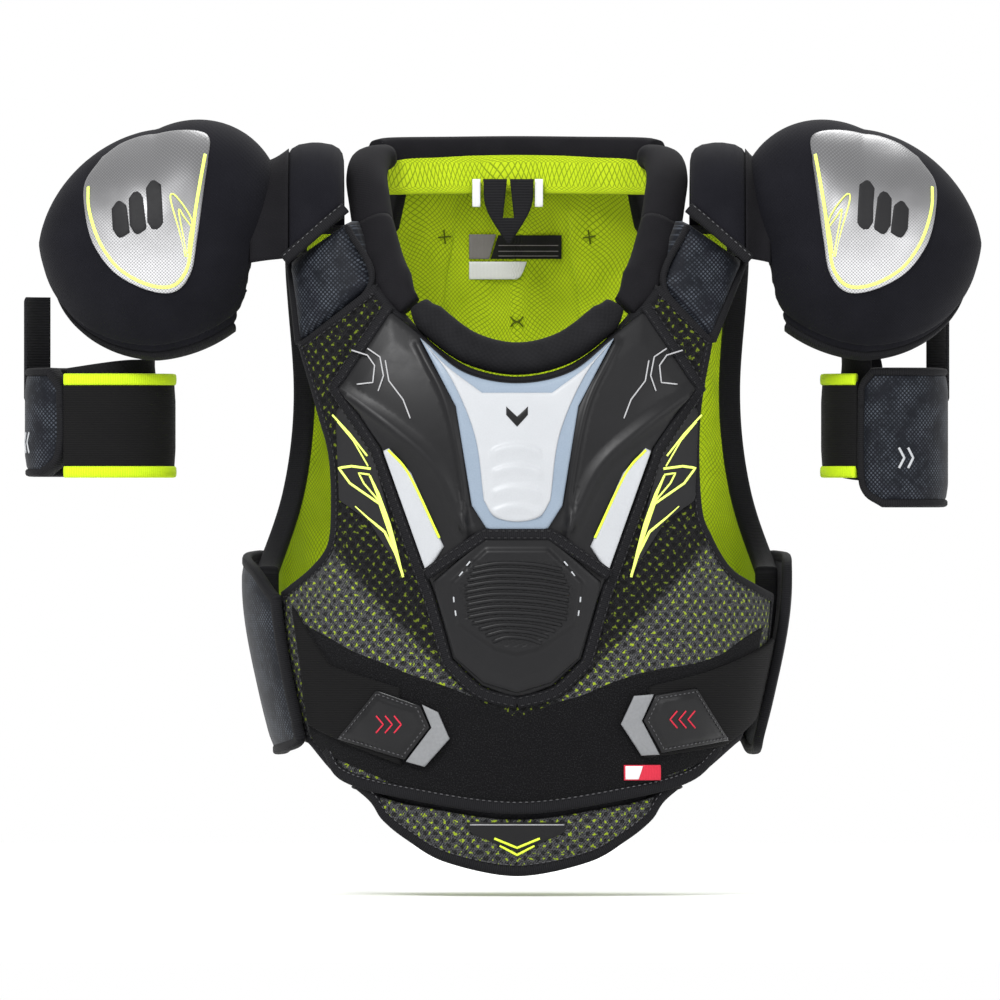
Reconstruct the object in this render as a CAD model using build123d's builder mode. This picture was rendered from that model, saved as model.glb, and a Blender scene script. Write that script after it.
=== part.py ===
from build123d import *

import os
from functools import lru_cache
from math import cos, pi, sin

# Ice hockey shoulder pads, junior size, in millimetres.
# +Z is up, the wearer faces -Y, and +X is the wearer's left. The origin is the middle of the
# neck on the shoulder line. The torso panels are layers on one body form: each layer is the
# form grown by two distances, trimmed by an outline drawn in the front view.

# ------------------------------------------------------------------ driving dimensions
# The body form: height, half width, depth in front, depth behind, squareness of the section.
STATIONS = (
    (-400, 98, 84, 84, 2.3),
    (-345, 116, 96, 88, 2.3),
    (-290, 131, 100, 92, 2.3),
    (-230, 141, 101, 96, 2.3),
    (-170, 136, 100, 98, 2.6),
    (-110, 129, 91, 97, 3.1),
    (-60, 126, 72, 89, 3.6),
    (-20, 124, 52, 72, 4.0),
    (12, 122, 38, 53, 4.0),
    (36, 118, 24, 38, 4.0),
)

# Layers, as distances from the body form.
LINER = (0.0, 2.0)
FOAM = (2.2, 10.0)
COVER = (10.2, 11.7)
SANDWICH = (0.0, 11.7)
PLATE = (11.9, 15.9)
OVERLAY = (11.9, 13.3)
RAISED = (16.1, 19.1)
CHIP = (16.1, 17.7)
STRAP = (13.9, 16.3)
STRAP_TAB = (16.5, 18.1)
WING = (16.9, 20.7)
EXTENSION_PAD = (2.2, 9.8)
EXTENSION_SKIN = (10.0, 11.7)
EXTENSION_BADGE = (11.9, 13.1)
ELASTIC = (4.0, 7.0)
NECK_LABEL = (-1.2, -0.3)

REACH = 220.0  # further than any panel is deep
BINDING_WIDTH = 6.0
FIT_GAP = 0.3  # between a binding and the panel that it edges
SIDES = {"left": 1, "right": -1}

# Shoulder arches
ARCH_BASE = -30.0
ARCH_RISE = 64.0
ARCH_FRONT = 64.0
ARCH_BACK = 84.0
ARCH_THICKNESS = 14.0
ARCH_INNER_X = 101.5
ARCH_OUTER_X = 136.0
LINK_OUTER_X = 143.0
LINK_THICKNESS = 8.0
LINK_END = -14.0

# Shoulder caps: a hollow ball that opens backwards, downwards and towards the neck.
CAP_CENTRE_X = {"left": 204.0, "right": 212.0}
CAP_CENTRE_Y = -8.0
CAP_CENTRE_Z = -25.0
CAP_RADIUS = 70.0
CAP_SHELL = 3.6
CAP_FOAM = 8.5
CAP_OPENING_TOWARDS = (0.20, 0.75, -0.63)  # x is towards the neck
CAP_OPENING_OFFSET = 30.0
SHOULDER_BORE_RADIUS = 47.0
SHOULDER_BORE_START = 9.0  # from the cap's centre towards the neck
SHOULDER_BORE_AT = (10, -10)  # y, z from the cap's centre
CAP_BADGE_RISE = 2.2
CAP_BADGE_GAP = 0.2

# Biceps guards: centre, radii seen from above, turn of the pad, and the heights they span.
BICEP = {
    "left": {"x": 217.0, "rx": 37.0, "ry": 44.0, "pad_from": -26.0, "bottom": -179.0},
    "right": {"x": 246.0, "rx": 44.0, "ry": 38.0, "pad_from": 31.0, "bottom": -161.0},
}
BICEP_CENTRE_Y = 14.0
BICEP_TOP = -99.0
BICEP_PAD_SWEEP = 200.0
BICEP_PAD_THICKNESS = 10.0
BICEP_STRAP_THICKNESS = 2.4
BICEP_STRAP_TOP = -106.0
BICEP_STRAP_HEIGHT = 52.0
BICEP_STRAP_SWEEP = 150.0
HANGER_FROM = 104.0
HANGER_SWEEP = 34.0
HANGER_THICKNESS = 2.6
HANGER_GAP = 0.3
HANGER_TOP = -56.0
HANGER_FOOT = -118.0

# Collar
COLLAR_WIDTH = 24.0
COLLAR_THICKNESS = 17.0
COLLAR_CLEARANCE = 0.6  # between the lower collar and the binding that it passes
BACK_COLLAR_HEIGHT = 21.0
BACK_COLLAR_DEPTH = 15.0
NECK_ROLL_RADIUS = 9.3

# Hang loop, hanging inside the neck below the back collar.
LOOP_Y = 44.0
LOOP_TOP = 12.0
LOOP_LENGTH = 38.0
LOOP_WIDTH = 30.0
LOOP_SLOT = 7.0
LOOP_TAPE = 1.8

# Back panel
ARMHOLE_CENTRE_Z = -122.0
ARMHOLE_HALF_WIDTH = 62.0
ARMHOLE_HALF_DROP = 94.0
BACK_SIDE_EDGE_Y = 1.0

# Side closure
FRONT_SIDE_EDGE_Y = {"left": -25.0, "right": -45.0}
SIDE_TRIM_TOP = -205.0
ELASTIC_BACK_Y = -4.0
WING_ROOT_Y = 45.0
WING_EDGE = {"left": -20.0, "right": -62.0}  # how far forward each side flap reaches
STRAP_GAP = 0.6  # between a strap and the flap that it comes out of

os.makedirs("parts", exist_ok=True)


# ------------------------------------------------------------------ shared shapes
def save(part, name):
    """Label a finished piece and write it."""
    part.label = name
    export_step(part, f"parts/{name}.step")


def section_points(half_width, depth, squareness, count=13):
    """Half of a superellipse, from +X round to -X."""
    points = []
    for step in range(count):
        angle = pi * step / (count - 1)
        across = abs(cos(angle)) ** (2 / squareness)
        along = sin(angle) ** (2 / squareness) if 0 < step < count - 1 else 0.0
        side = 1 if step < (count - 1) / 2 else -1
        points.append((side * half_width * across, depth * along))
    return points


@lru_cache(maxsize=None)
def torso_half(half, grown):
    """The front or back half of the body form, grown outwards."""
    facing = -1 if half == "front" else 1
    with BuildPart() as form:
        for height, half_width, front_depth, back_depth, squareness in STATIONS:
            depth = front_depth if half == "front" else back_depth
            points = section_points(half_width + grown, depth + grown, squareness)
            with BuildSketch(Plane.XY.offset(height)):
                with BuildLine():
                    curve = Spline(*[(x, facing * y) for x, y in points])
                    Line(curve @ 1, curve @ 0)
                make_face()
        loft()
    return form.part


def closed_outline(start, *stretches):
    """An outline in the front view. A stretch of one point is a line, of more a smooth curve."""
    return start, [list(stretch) for stretch in stretches]


def face(outline):
    """The flat face inside an outline."""
    here, stretches = outline
    with BuildSketch(Plane.XZ) as flat:
        with BuildLine():
            for stretch in stretches:
                if len(stretch) == 1:
                    Line(here, stretch[0])
                else:
                    Spline(here, *stretch)
                here = stretch[-1]
        make_face()
    return flat.sketch


def inset(outline, distance):
    """An outline pulled in all round, each point moved along the bisector of its corner."""
    start, stretches = outline
    points = [Vector(*point) for stretch in stretches for point in stretch]
    turns = sum(a.X * b.Y - b.X * a.Y for a, b in zip(points, points[1:] + points[:1]))
    inward = 1 if turns > 0 else -1
    moved = []
    for before, here, after in zip(points[-1:] + points, points, points[1:] + points[:1]):
        normals = []
        for near, far in ((before, here), (here, after)):
            along = (far - near).normalized()
            normals.append(Vector(-along.Y, along.X) * inward)
        bisector = (normals[0] + normals[1]).normalized()
        here += bisector * (distance / bisector.dot(normals[0]))
        moved.append((here.X, here.Y))
    pulled = []
    for stretch in stretches:
        pulled.append([moved.pop(0) for _ in stretch])
    return pulled[-1][-1], pulled


def on_side(points, sign):
    """Points drawn for the left side, placed on the left or the right."""
    return [(sign * x, z) for x, z in points]


def both_sides(points):
    """A run of points for the left side, followed by its mirror image back from the right."""
    return list(points) + [(-x, z) for x, z in reversed(points)]


@lru_cache(maxsize=None)
def shell(half, thickness):
    """A hollow layer of the body form."""
    inner, outer = thickness
    with BuildPart() as hollow:
        add(torso_half(half, outer))
        add(torso_half(half, inner), mode=Mode.SUBTRACT)
    return hollow.part


def layer(half, thickness, outline):
    """The part of a hollow layer inside an outline."""
    amount = REACH if half == "front" else -REACH
    with BuildPart() as sheet:
        add(shell(half, thickness))
        extrude(face(outline), amount=amount, mode=Mode.INTERSECT)
    return sheet.part


# ------------------------------------------------------------------ outlines (x, z)
NECK_EDGE = [(84, -50), (67, -71), (50, -87), (28, -99.5), (0, -104.5)]
CLAVICLE_OUTER = {"left": (115, -82), "right": (128.5, -84)}
FRONT_ARMHOLE = {
    "left": [(107.5, -128), (108, -178), (114.5, -198), (125.5, -216), (139, -225), (150, -231)],
    "right": [(117, -125), (110.5, -150), (109, -180), (111, -202), (121, -216), (138, -230)],
}
FRONT_SIDE = {
    "left": [(146.5, -262), (138.5, -295), (130, -317)],
    "right": [(137, -262), (130, -295), (123, -317)],
}
BELLY_EDGE = [(101, -340), (66, -350), (0, -359), (-66, -350), (-101, -340)]

PLATE_CORNERS = [(73, -65), (102.5, -110), (78.5, -145), (51.5, -221), (47, -233)]
PLATE_FOOT = [(37, -269), (20, -285), (0, -291)]
PLATE_TOP = [(54, -80), (30, -99.5), (0, -106)]
STERNUM_TOP = [(54.5, -81), (30, -101), (0, -107.5)]
STERNUM_SIDE = [(34.5, -121), (25.5, -179), (16.7, -193.5)]
PLEXUS_CORNERS = [(18.5, -197), (47.5, -223.5), (45.5, -233), (35, -268.5), (19, -283), (0, -289)]
CHIP_CORNERS = [(76, -146), (61, -160), (41.5, -203), (51.5, -220)]
ACCENT_CORNERS = [(105, -124), (103, -176), (86, -188), (65, -221), (82, -151), (101, -119)]
CLAVICLE_TOP = [(102, -11.5), (134, -34.5)]

LANDING_TOP = {
    "left": [(143, -250), (108, -269.5), (72, -277), (31, -291), (0, -303)],
    "right": [(129, -246), (103, -259), (68, -275), (33, -288), (0, -303)],
}
LANDING_FOOT = [(62, -345), (30, -350.5), (0, -352.5)]
EXTENSION_EDGE = [(99, -343), (86, -353), (79, -363.5), (65, -375), (42, -388), (0, -396)]
EXTENSION_TOP = [(66, -352.5), (0, -361.5), (-66, -352.5)]


def chest_outline():
    """Edge of the front panel: neck, armholes, sides and belly."""
    left_down = [CLAVICLE_OUTER["left"]], FRONT_ARMHOLE["left"], FRONT_SIDE["left"]
    right_up = (
        on_side(reversed(FRONT_SIDE["right"]), -1)[1:] + on_side([FRONT_ARMHOLE["right"][-1]], -1),
        on_side(reversed(FRONT_ARMHOLE["right"][:-1]), -1) + on_side([CLAVICLE_OUTER["right"]], -1),
    )
    belly = BELLY_EDGE + [(-FRONT_SIDE["right"][-1][0], FRONT_SIDE["right"][-1][1])]
    neck = both_sides(NECK_EDGE[:-1])
    neck.insert(len(NECK_EDGE) - 1, NECK_EDGE[-1])
    neck = [(-x, z) for x, z in neck]
    return closed_outline(NECK_EDGE[0], *left_down, belly, *right_up, [neck[0]], neck[1:])


def back_outline():
    """Edge of the back panel before the armholes are cut."""
    return closed_outline(
        (74, 14),
        [(80, -14)],
        [(160, -14)],
        [(160, -230)],
        [(150, -296), (128, -318), (90, -324)],
        [(-90, -324)],
        [(-128, -318), (-150, -296), (-160, -230)],
        [(-160, -14)],
        [(-80, -14)],
        [(-74, 14)],
        [(74, 14)],
    )


@lru_cache(maxsize=None)
def armhole_cutter(grown):
    """Both armholes, and everything in front of the side edges of the back panel."""
    with BuildPart() as cutter:
        with BuildSketch(Plane.YZ.offset(-REACH)):
            with Locations((0, ARMHOLE_CENTRE_Z)):
                Ellipse(ARMHOLE_HALF_WIDTH + grown, ARMHOLE_HALF_DROP + grown)
            with Locations((BACK_SIDE_EDGE_Y + grown - REACH / 2, ARMHOLE_CENTRE_Z - REACH)):
                Rectangle(REACH, 2 * REACH)
        extrude(amount=2 * REACH)
    return cutter.part


# ------------------------------------------------------------------ back body
back_panel = back_outline()
BACK_LAYERS = {"back_liner": LINER, "back_foam": FOAM, "back_cover": COVER}
for name, thickness in BACK_LAYERS.items():
    with BuildPart() as back_layer:
        add(layer("back", thickness, inset(back_panel, BINDING_WIDTH + FIT_GAP)))
        add(armhole_cutter(BINDING_WIDTH + FIT_GAP), mode=Mode.SUBTRACT)
    save(back_layer.part, name)

with BuildPart() as binding_inside:
    add(layer("back", (-1.0, 12.5), inset(back_panel, BINDING_WIDTH)))
    add(armhole_cutter(BINDING_WIDTH), mode=Mode.SUBTRACT)
with BuildPart() as back_binding:
    add(layer("back", SANDWICH, back_panel))
    add(armhole_cutter(0.0), mode=Mode.SUBTRACT)
    add(binding_inside.part, mode=Mode.SUBTRACT)
save(back_binding.part, "back_binding")

spine_outline = closed_outline(
    (40, -30), [(52, -110), (34, -190), (26, -262)], [(-26, -262)],
    [(-34, -190), (-52, -110), (-40, -30)], [(40, -30)],
)
with BuildPart() as spine_plate:
    add(layer("back", PLATE, spine_outline))
save(spine_plate.part, "spine_plate")

label_outline = closed_outline((-31, -18), [(29, -18)], [(29, -34)], [(-31, -34)], [(-31, -18)])
with BuildPart() as neck_label:
    add(layer("back", NECK_LABEL, label_outline))
save(neck_label.part, "neck_label")


def arch(inner_x, outer_x, thickness, front_end, back_end):
    """A padded arch over one shoulder, its feet cut off by sloping lines in the front view."""
    with BuildPart() as band:
        for facing, half_depth in ((-1, ARCH_FRONT), (1, ARCH_BACK)):
            with BuildSketch(Plane.YZ.offset(inner_x)):
                with Locations((0, ARCH_BASE)):
                    Ellipse(half_depth, ARCH_RISE)
                    Ellipse(half_depth - thickness, ARCH_RISE - thickness, mode=Mode.SUBTRACT)
                with Locations((facing * REACH / 2, 0)):
                    Rectangle(REACH, 2 * REACH, mode=Mode.INTERSECT)
            extrude(amount=outer_x - inner_x)
            near, far = front_end if facing < 0 else back_end
            with BuildSketch(Plane.XZ):
                with BuildLine():
                    Polyline(
                        (inner_x - 5, near), (outer_x + 5, far), (outer_x + 5, -REACH),
                        (inner_x - 5, -REACH), close=True,
                    )
                make_face()
            extrude(amount=-facing * REACH, mode=Mode.SUBTRACT)
    return band.part


def placed(part, sign):
    """A part drawn for the left side, on the left or mirrored to the right."""
    return part if sign > 0 else mirror(part, about=Plane.YZ)


shoulder_arch = arch(ARCH_INNER_X, ARCH_OUTER_X, ARCH_THICKNESS, (-5, -37), (-12, -12))
link_arch = arch(ARCH_OUTER_X + 0.5, LINK_OUTER_X, LINK_THICKNESS, (LINK_END, LINK_END), (0, 0))

for side, sign in SIDES.items():
    with BuildPart() as shoulder_pad:
        add(placed(shoulder_arch, sign))
    save(shoulder_pad.part, f"shoulder_pad_{side}")

    with BuildPart() as cap_link:
        add(placed(link_arch, sign))
    save(cap_link.part, f"cap_link_{side}")


def padded_tube(start, middle, end, width, thickness, width_axis):
    """A tube of oval section along an arc, its width held along the given direction."""
    with BuildPart() as tube:
        with BuildLine():
            path = ThreePointArc(start, middle, end)
        along = path % 0
        across = Vector(*width_axis)
        across = (across - along * across.dot(along)).normalized()
        with BuildSketch(Plane(origin=start, x_dir=across, z_dir=along)):
            Ellipse(width / 2, thickness / 2)
        sweep()
    return tube.part


with BuildPart() as back_collar:
    add(padded_tube(
        (-74, 42, 28), (0, 58, 29), (74, 42, 28), BACK_COLLAR_DEPTH, BACK_COLLAR_HEIGHT, (0, 1, 0),
    ))
save(back_collar.part, "back_collar")

for side, sign in SIDES.items():
    with BuildPart() as collar_upper:
        add(padded_tube(
            (sign * 85, 30, 25), (sign * 88.5, 0, 14), (sign * 84.5, -36, -15),
            COLLAR_WIDTH, COLLAR_THICKNESS, (1, 0, 0),
        ))
    save(collar_upper.part, f"collar_upper_{side}")

# ------------------------------------------------------------------ front body
@lru_cache(maxsize=None)
def side_trim(grown):
    """What lies behind the side edges of the front panel."""
    with BuildPart() as trim:
        with BuildSketch(Plane.XY.offset(-REACH * 2)):
            for side, sign in SIDES.items():
                with Locations((sign * REACH / 2, FRONT_SIDE_EDGE_Y[side] - grown + REACH / 2)):
                    Rectangle(REACH, REACH)
        extrude(amount=2 * REACH + SIDE_TRIM_TOP)
    return trim.part


chest_panel = chest_outline()
FRONT_LAYERS = {"chest_liner": LINER, "chest_foam": FOAM, "chest_cover": COVER}
for name, thickness in FRONT_LAYERS.items():
    with BuildPart() as front_layer:
        add(layer("front", thickness, inset(chest_panel, BINDING_WIDTH + FIT_GAP)))
        add(side_trim(BINDING_WIDTH + FIT_GAP), mode=Mode.SUBTRACT)
    save(front_layer.part, name)


def lower_collar(sign, grown):
    """The lower half of one collar side."""
    return padded_tube(
        (sign * 83.5, -39.5, -18.5), (sign * 77, -60, -39.5), (sign * 67.5, -76.5, -57),
        COLLAR_WIDTH + 2 * grown, COLLAR_THICKNESS + 2 * grown, (1, 0, 0),
    )


with BuildPart() as binding_inside:
    extrude(face(inset(chest_panel, BINDING_WIDTH)), amount=REACH)
    add(side_trim(BINDING_WIDTH), mode=Mode.SUBTRACT)
with BuildPart() as chest_binding:
    add(layer("front", SANDWICH, chest_panel))
    add(side_trim(0.0), mode=Mode.SUBTRACT)
    add(binding_inside.part, mode=Mode.SUBTRACT)
    for sign in SIDES.values():
        add(lower_collar(sign, COLLAR_CLEARANCE), mode=Mode.SUBTRACT)
save(chest_binding.part, "chest_binding")


def mirrored_outline(top, corners, foot):
    """A symmetrical outline: a curved top through the middle, straight sides, a curved foot."""
    sides = corners + foot[:-1]
    right = [[(-x, z)] for x, z in reversed(sides)]
    first = (top[0][0], top[0][1])
    top_back = [(-x, z) for x, z in top[1:-1]] + [top[-1]] + [(x, z) for x, z in reversed(top[:-1])]
    return closed_outline(
        first, *[[point] for point in sides], [foot[-1]], *right, [(-first[0], first[1])], top_back,
    )


plate_outline = mirrored_outline(PLATE_TOP, PLATE_CORNERS, PLATE_FOOT)
with BuildPart() as chest_plate:
    add(layer("front", PLATE, plate_outline))
save(chest_plate.part, "chest_plate")

sternum_outline = mirrored_outline(STERNUM_TOP, STERNUM_SIDE[:1], STERNUM_SIDE[1:] + [(0, -193.5)])
with BuildPart() as sternum_insert:
    add(layer("front", RAISED, sternum_outline))
save(sternum_insert.part, "sternum_insert")

plexus_points = both_sides(PLEXUS_CORNERS[:-1])
plexus_points.insert(len(PLEXUS_CORNERS) - 1, PLEXUS_CORNERS[-1])
plexus_outline = closed_outline(
    plexus_points[0], *[[point] for point in plexus_points[1:]], [plexus_points[0]],
)
with BuildPart() as plexus_pad:
    add(layer("front", RAISED, plexus_outline))
save(plexus_pad.part, "plexus_pad")


def landing_outline():
    """Edge of the wide band of loop fabric that the side straps stick to."""
    left, right = LANDING_TOP["left"], on_side(LANDING_TOP["right"], -1)
    foot = LANDING_FOOT[:-1] + [LANDING_FOOT[-1]] + on_side(reversed(LANDING_FOOT[:-1]), -1)
    return closed_outline(
        left[0],
        [(130, -303), (118, -322)],
        [(101, -332), *foot, (-95, -332)],
        [(-114, -322), (-122, -303), right[0]],
        right[1:],
        list(reversed(left))[1:],
    )


with BuildPart() as loop_landing:
    add(layer("front", OVERLAY, landing_outline()))
save(loop_landing.part, "loop_landing")

with BuildPart() as neck_roll:
    with BuildLine():
        roll_path = ThreePointArc((-51, -84, -69.5), (0, -93.5, -93), (51, -84, -69.5))
    with BuildSketch(Plane(origin=roll_path @ 0, z_dir=roll_path % 0)):
        Circle(NECK_ROLL_RADIUS)
    sweep()
save(neck_roll.part, "neck_roll")

with BuildPart() as size_tab:
    tab_outline = closed_outline((61, -340), [(82, -340)], [(82, -331)], [(61, -331)], [(61, -340)])
    add(layer("front", (13.5, 14.3), tab_outline))
save(size_tab.part, "size_tab")


def side_polygon(corners, sign):
    """A straight-sided outline drawn for the left side and placed on either side."""
    points = on_side(corners, sign)
    return closed_outline(points[0], *[[point] for point in points[1:]], [points[0]])


for side, sign in SIDES.items():
    outer_x, outer_z = CLAVICLE_OUTER[side]
    clavicle_corners = [*CLAVICLE_TOP, (outer_x, outer_z + 1), (86, -49)]
    with BuildPart() as clavicle_panel:
        add(layer("front", SANDWICH, side_polygon(clavicle_corners, sign)))
    save(clavicle_panel.part, f"clavicle_panel_{side}")

    with BuildPart() as collar_lower:
        add(lower_collar(sign, 0.0))
    save(collar_lower.part, f"collar_lower_{side}")

    with BuildPart() as accent_panel:
        add(layer("front", OVERLAY, side_polygon(ACCENT_CORNERS, sign)))
    save(accent_panel.part, f"accent_panel_{side}")

    with BuildPart() as accent_chip:
        add(layer("front", CHIP, side_polygon(CHIP_CORNERS, sign)))
    save(accent_chip.part, f"accent_chip_{side}")

# ------------------------------------------------------------------ abdomen extension
extension_outline = closed_outline(
    EXTENSION_EDGE[0],
    [EXTENSION_EDGE[1]],
    EXTENSION_EDGE[2:],
    on_side(reversed(EXTENSION_EDGE[1:-1]), -1),
    on_side(EXTENSION_EDGE[:1], -1),
    [EXTENSION_TOP[2]],
    EXTENSION_TOP[1::-1],
    [EXTENSION_EDGE[0]],
)
EXTENSION_LAYERS = {"extension_foam": EXTENSION_PAD, "extension_cover": EXTENSION_SKIN}
for name, thickness in EXTENSION_LAYERS.items():
    with BuildPart() as extension_layer:
        add(layer("front", thickness, extension_outline))
    save(extension_layer.part, name)

label_outline = closed_outline(
    (-27, -365), [(0, -367), (27, -365)], [(22, -374)], [(0, -381)], [(-22, -374)], [(-27, -365)],
)
with BuildPart() as extension_label:
    add(layer("front", EXTENSION_BADGE, label_outline))
save(extension_label.part, "extension_label")

# ------------------------------------------------------------------ side closure
STRAP_SHAPE = {
    "left": {"upper": [(108, -277), (76, -285)], "tip": (72, -327), "lower": [(118, -320)]},
    "right": {"upper": [(107, -273), (67, -286)], "tip": (66, -331), "lower": [(119, -308)]},
}
TAB_SHAPE = {
    "left": [(101, -286), (119, -317), (81, -324), (71, -305), (78, -290)],
    "right": [(79, -287), (54.5, -296), (49, -309), (63, -328), (101, -316)],
}
CHEVRON_SHAPE = {
    "left": [(66, -290.5), (58.5, -307), (70, -325.5), (80, -325), (70.2, -305), (77, -289.5)],
    "right": [(53.5, -295.5), (44.5, -300), (38, -315.5), (52, -332), (62.5, -329), (48.2, -309)],
}
STRAP_ROOT = {"left": [(175, -257), (175, -308)], "right": [(160, -238), (160, -282)]}

for side, sign in SIDES.items():
    shape = STRAP_SHAPE[side]
    upper_root, lower_root = STRAP_ROOT[side]
    strap_corners = [upper_root, *shape["upper"], shape["tip"], *shape["lower"], lower_root]
    with BuildPart() as strap_band:
        add(layer("front", STRAP, side_polygon(strap_corners, sign)))
        split(bisect_by=Plane.XZ.offset(STRAP_GAP - WING_EDGE[side]), keep=Keep.TOP)
    save(strap_band.part, f"strap_band_{side}")

    with BuildPart() as hook_tab:
        add(layer("front", STRAP_TAB, side_polygon(TAB_SHAPE[side], sign)))
    save(hook_tab.part, f"hook_tab_{side}")

    with BuildPart() as tab_chevron:
        add(layer("front", STRAP_TAB, side_polygon(CHEVRON_SHAPE[side], sign)))
    save(tab_chevron.part, f"tab_chevron_{side}")

    wing_outline = side_polygon(
        [(100, -204), (175, -204), (175, -330), (100, -330)], sign,
    )
    with BuildPart() as wing:
        add(layer("front", WING, wing_outline))
        add(layer("back", WING, wing_outline))
        with BuildSketch(Plane.YZ.offset(sign * 80)):
            with BuildLine():
                edge = WING_EDGE[side]
                Spline((WING_ROOT_Y, -205), (6, -207.5), (edge * 0.6, -214), (edge, -232))
                Line((edge, -232), (edge, -306))
                Spline((edge, -306), (edge + 10, -322), (WING_ROOT_Y - 20, -326), (WING_ROOT_Y, -318))
                Line((WING_ROOT_Y, -318), (WING_ROOT_Y, -205))
            make_face()
        extrude(amount=sign * REACH, mode=Mode.INTERSECT)
    save(wing.part, f"wing_{side}")

    elastic_outline = side_polygon([(100, -246), (175, -246), (175, -300), (100, -300)], sign)
    elastic_span = ELASTIC_BACK_Y - FRONT_SIDE_EDGE_Y[side] - 1.0
    with BuildPart() as side_elastic:
        add(layer("front", ELASTIC, elastic_outline))
        with BuildSketch(Plane.YZ.offset(sign * 80)):
            with Locations((ELASTIC_BACK_Y - elastic_span / 2, -273)):
                Rectangle(elastic_span, 54)
        extrude(amount=sign * REACH, mode=Mode.INTERSECT)
    save(side_elastic.part, f"side_elastic_{side}")

# ------------------------------------------------------------------ shoulder caps
BADGE_POINTS = [
    (-33, 51), (-44, 40), (-43, 20), (-37, 0), (-25, -17), (-7, -27), (10, -29),
    (20, -19), (24, 0), (28, 43),
]


def dome(outer, inner, sign):
    """Hollow ball about the cap's own centre, open towards the arm."""
    opening = Vector(-sign * CAP_OPENING_TOWARDS[0], *CAP_OPENING_TOWARDS[1:]).normalized()
    radial = opening.cross(Vector(1, 0, 0)).normalized()
    with BuildPart() as ball:
        with BuildSketch(Plane(origin=(0, 0, 0), x_dir=radial, z_dir=radial.cross(-opening))):
            Circle(CAP_RADIUS + outer)
            Circle(CAP_RADIUS + inner, mode=Mode.SUBTRACT)
            with Locations((0, -CAP_OPENING_OFFSET - REACH)):
                Rectangle(2 * REACH, 2 * REACH, mode=Mode.SUBTRACT)
            with Locations((-REACH, 0)):
                Rectangle(2 * REACH, 2 * REACH, mode=Mode.SUBTRACT)
        revolve(axis=Axis((0, 0, 0), tuple(opening)))
    return ball.part


def cap_layer(outer, inner, sign):
    """A layer of the dome with the bore that lets the shoulder in from the neck side."""
    with BuildPart() as cup:
        add(dome(outer, inner, sign))
        with BuildSketch(Plane.YZ.offset(-sign * SHOULDER_BORE_START)):
            with Locations(SHOULDER_BORE_AT):
                Circle(SHOULDER_BORE_RADIUS)
        extrude(amount=-sign * REACH, mode=Mode.SUBTRACT)
    return cup.part


for side, sign in SIDES.items():
    centre = Pos(sign * CAP_CENTRE_X[side], CAP_CENTRE_Y, CAP_CENTRE_Z)
    cap_layers = {
        f"cap_shell_{side}": (0.0, -CAP_SHELL),
        f"cap_foam_{side}": (-CAP_SHELL - 0.2, -CAP_SHELL - CAP_FOAM),
    }
    for name, (outer, inner) in cap_layers.items():
        with BuildPart() as cap_piece:
            add(centre * cap_layer(outer, inner, sign))
        save(cap_piece.part, name)

    badge_points = on_side(BADGE_POINTS, -sign)
    badge_outline = closed_outline(badge_points[0], badge_points[1:], [badge_points[0]])
    with BuildPart() as badge:
        Sphere(CAP_RADIUS + CAP_BADGE_RISE)
        Sphere(CAP_RADIUS + CAP_BADGE_GAP, mode=Mode.SUBTRACT)
        extrude(face(badge_outline), amount=REACH, mode=Mode.INTERSECT)
    with BuildPart() as cap_badge:
        add(centre * badge.part)
    save(cap_badge.part, f"cap_badge_{side}")

# ------------------------------------------------------------------ biceps guards
def ring_sector(size, outer_grow, thickness, start, sweep_angle, bottom, top, sign):
    """Part of an oval ring round the arm. Angles run outwards from the front."""
    steps = 8
    reach = 150.0
    with BuildPart() as sector:
        with BuildSketch(Plane.XY.offset(bottom)):
            Ellipse(size["rx"] + outer_grow, size["ry"] + outer_grow)
            inner = outer_grow - thickness
            Ellipse(size["rx"] + inner, size["ry"] + inner, mode=Mode.SUBTRACT)
            fan = [(0, 0)]
            for step in range(steps + 1):
                angle = (start + sweep_angle * step / steps) * pi / 180
                fan.append((sign * reach * sin(angle), -reach * cos(angle)))
            with BuildLine(mode=Mode.PRIVATE) as wedge:
                Polyline(*fan, close=True)
            make_face(wedge.edges(), mode=Mode.INTERSECT)
        extrude(amount=top - bottom)
    return sector.part


for side, sign in SIDES.items():
    size = BICEP[side]
    centre = Pos(sign * size["x"], BICEP_CENTRE_Y, 0)
    with BuildPart() as bicep_pad:
        add(centre * ring_sector(
            size, 0.0, BICEP_PAD_THICKNESS, size["pad_from"], BICEP_PAD_SWEEP,
            size["bottom"], BICEP_TOP, sign,
        ))
    save(bicep_pad.part, f"bicep_pad_{side}")

    strap_from = size["pad_from"] - BICEP_STRAP_SWEEP - 1.5
    with BuildPart() as bicep_strap:
        add(centre * ring_sector(
            size, 0.0, BICEP_STRAP_THICKNESS, strap_from, BICEP_STRAP_SWEEP,
            BICEP_STRAP_TOP - BICEP_STRAP_HEIGHT, BICEP_STRAP_TOP, sign,
        ))
    save(bicep_strap.part, f"bicep_strap_{side}")

    with BuildPart() as bicep_hanger:
        add(centre * ring_sector(
            size, HANGER_GAP + HANGER_THICKNESS, HANGER_THICKNESS, HANGER_FROM, HANGER_SWEEP,
            HANGER_FOOT, HANGER_TOP, sign,
        ))
    save(bicep_hanger.part, f"bicep_hanger_{side}")

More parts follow.
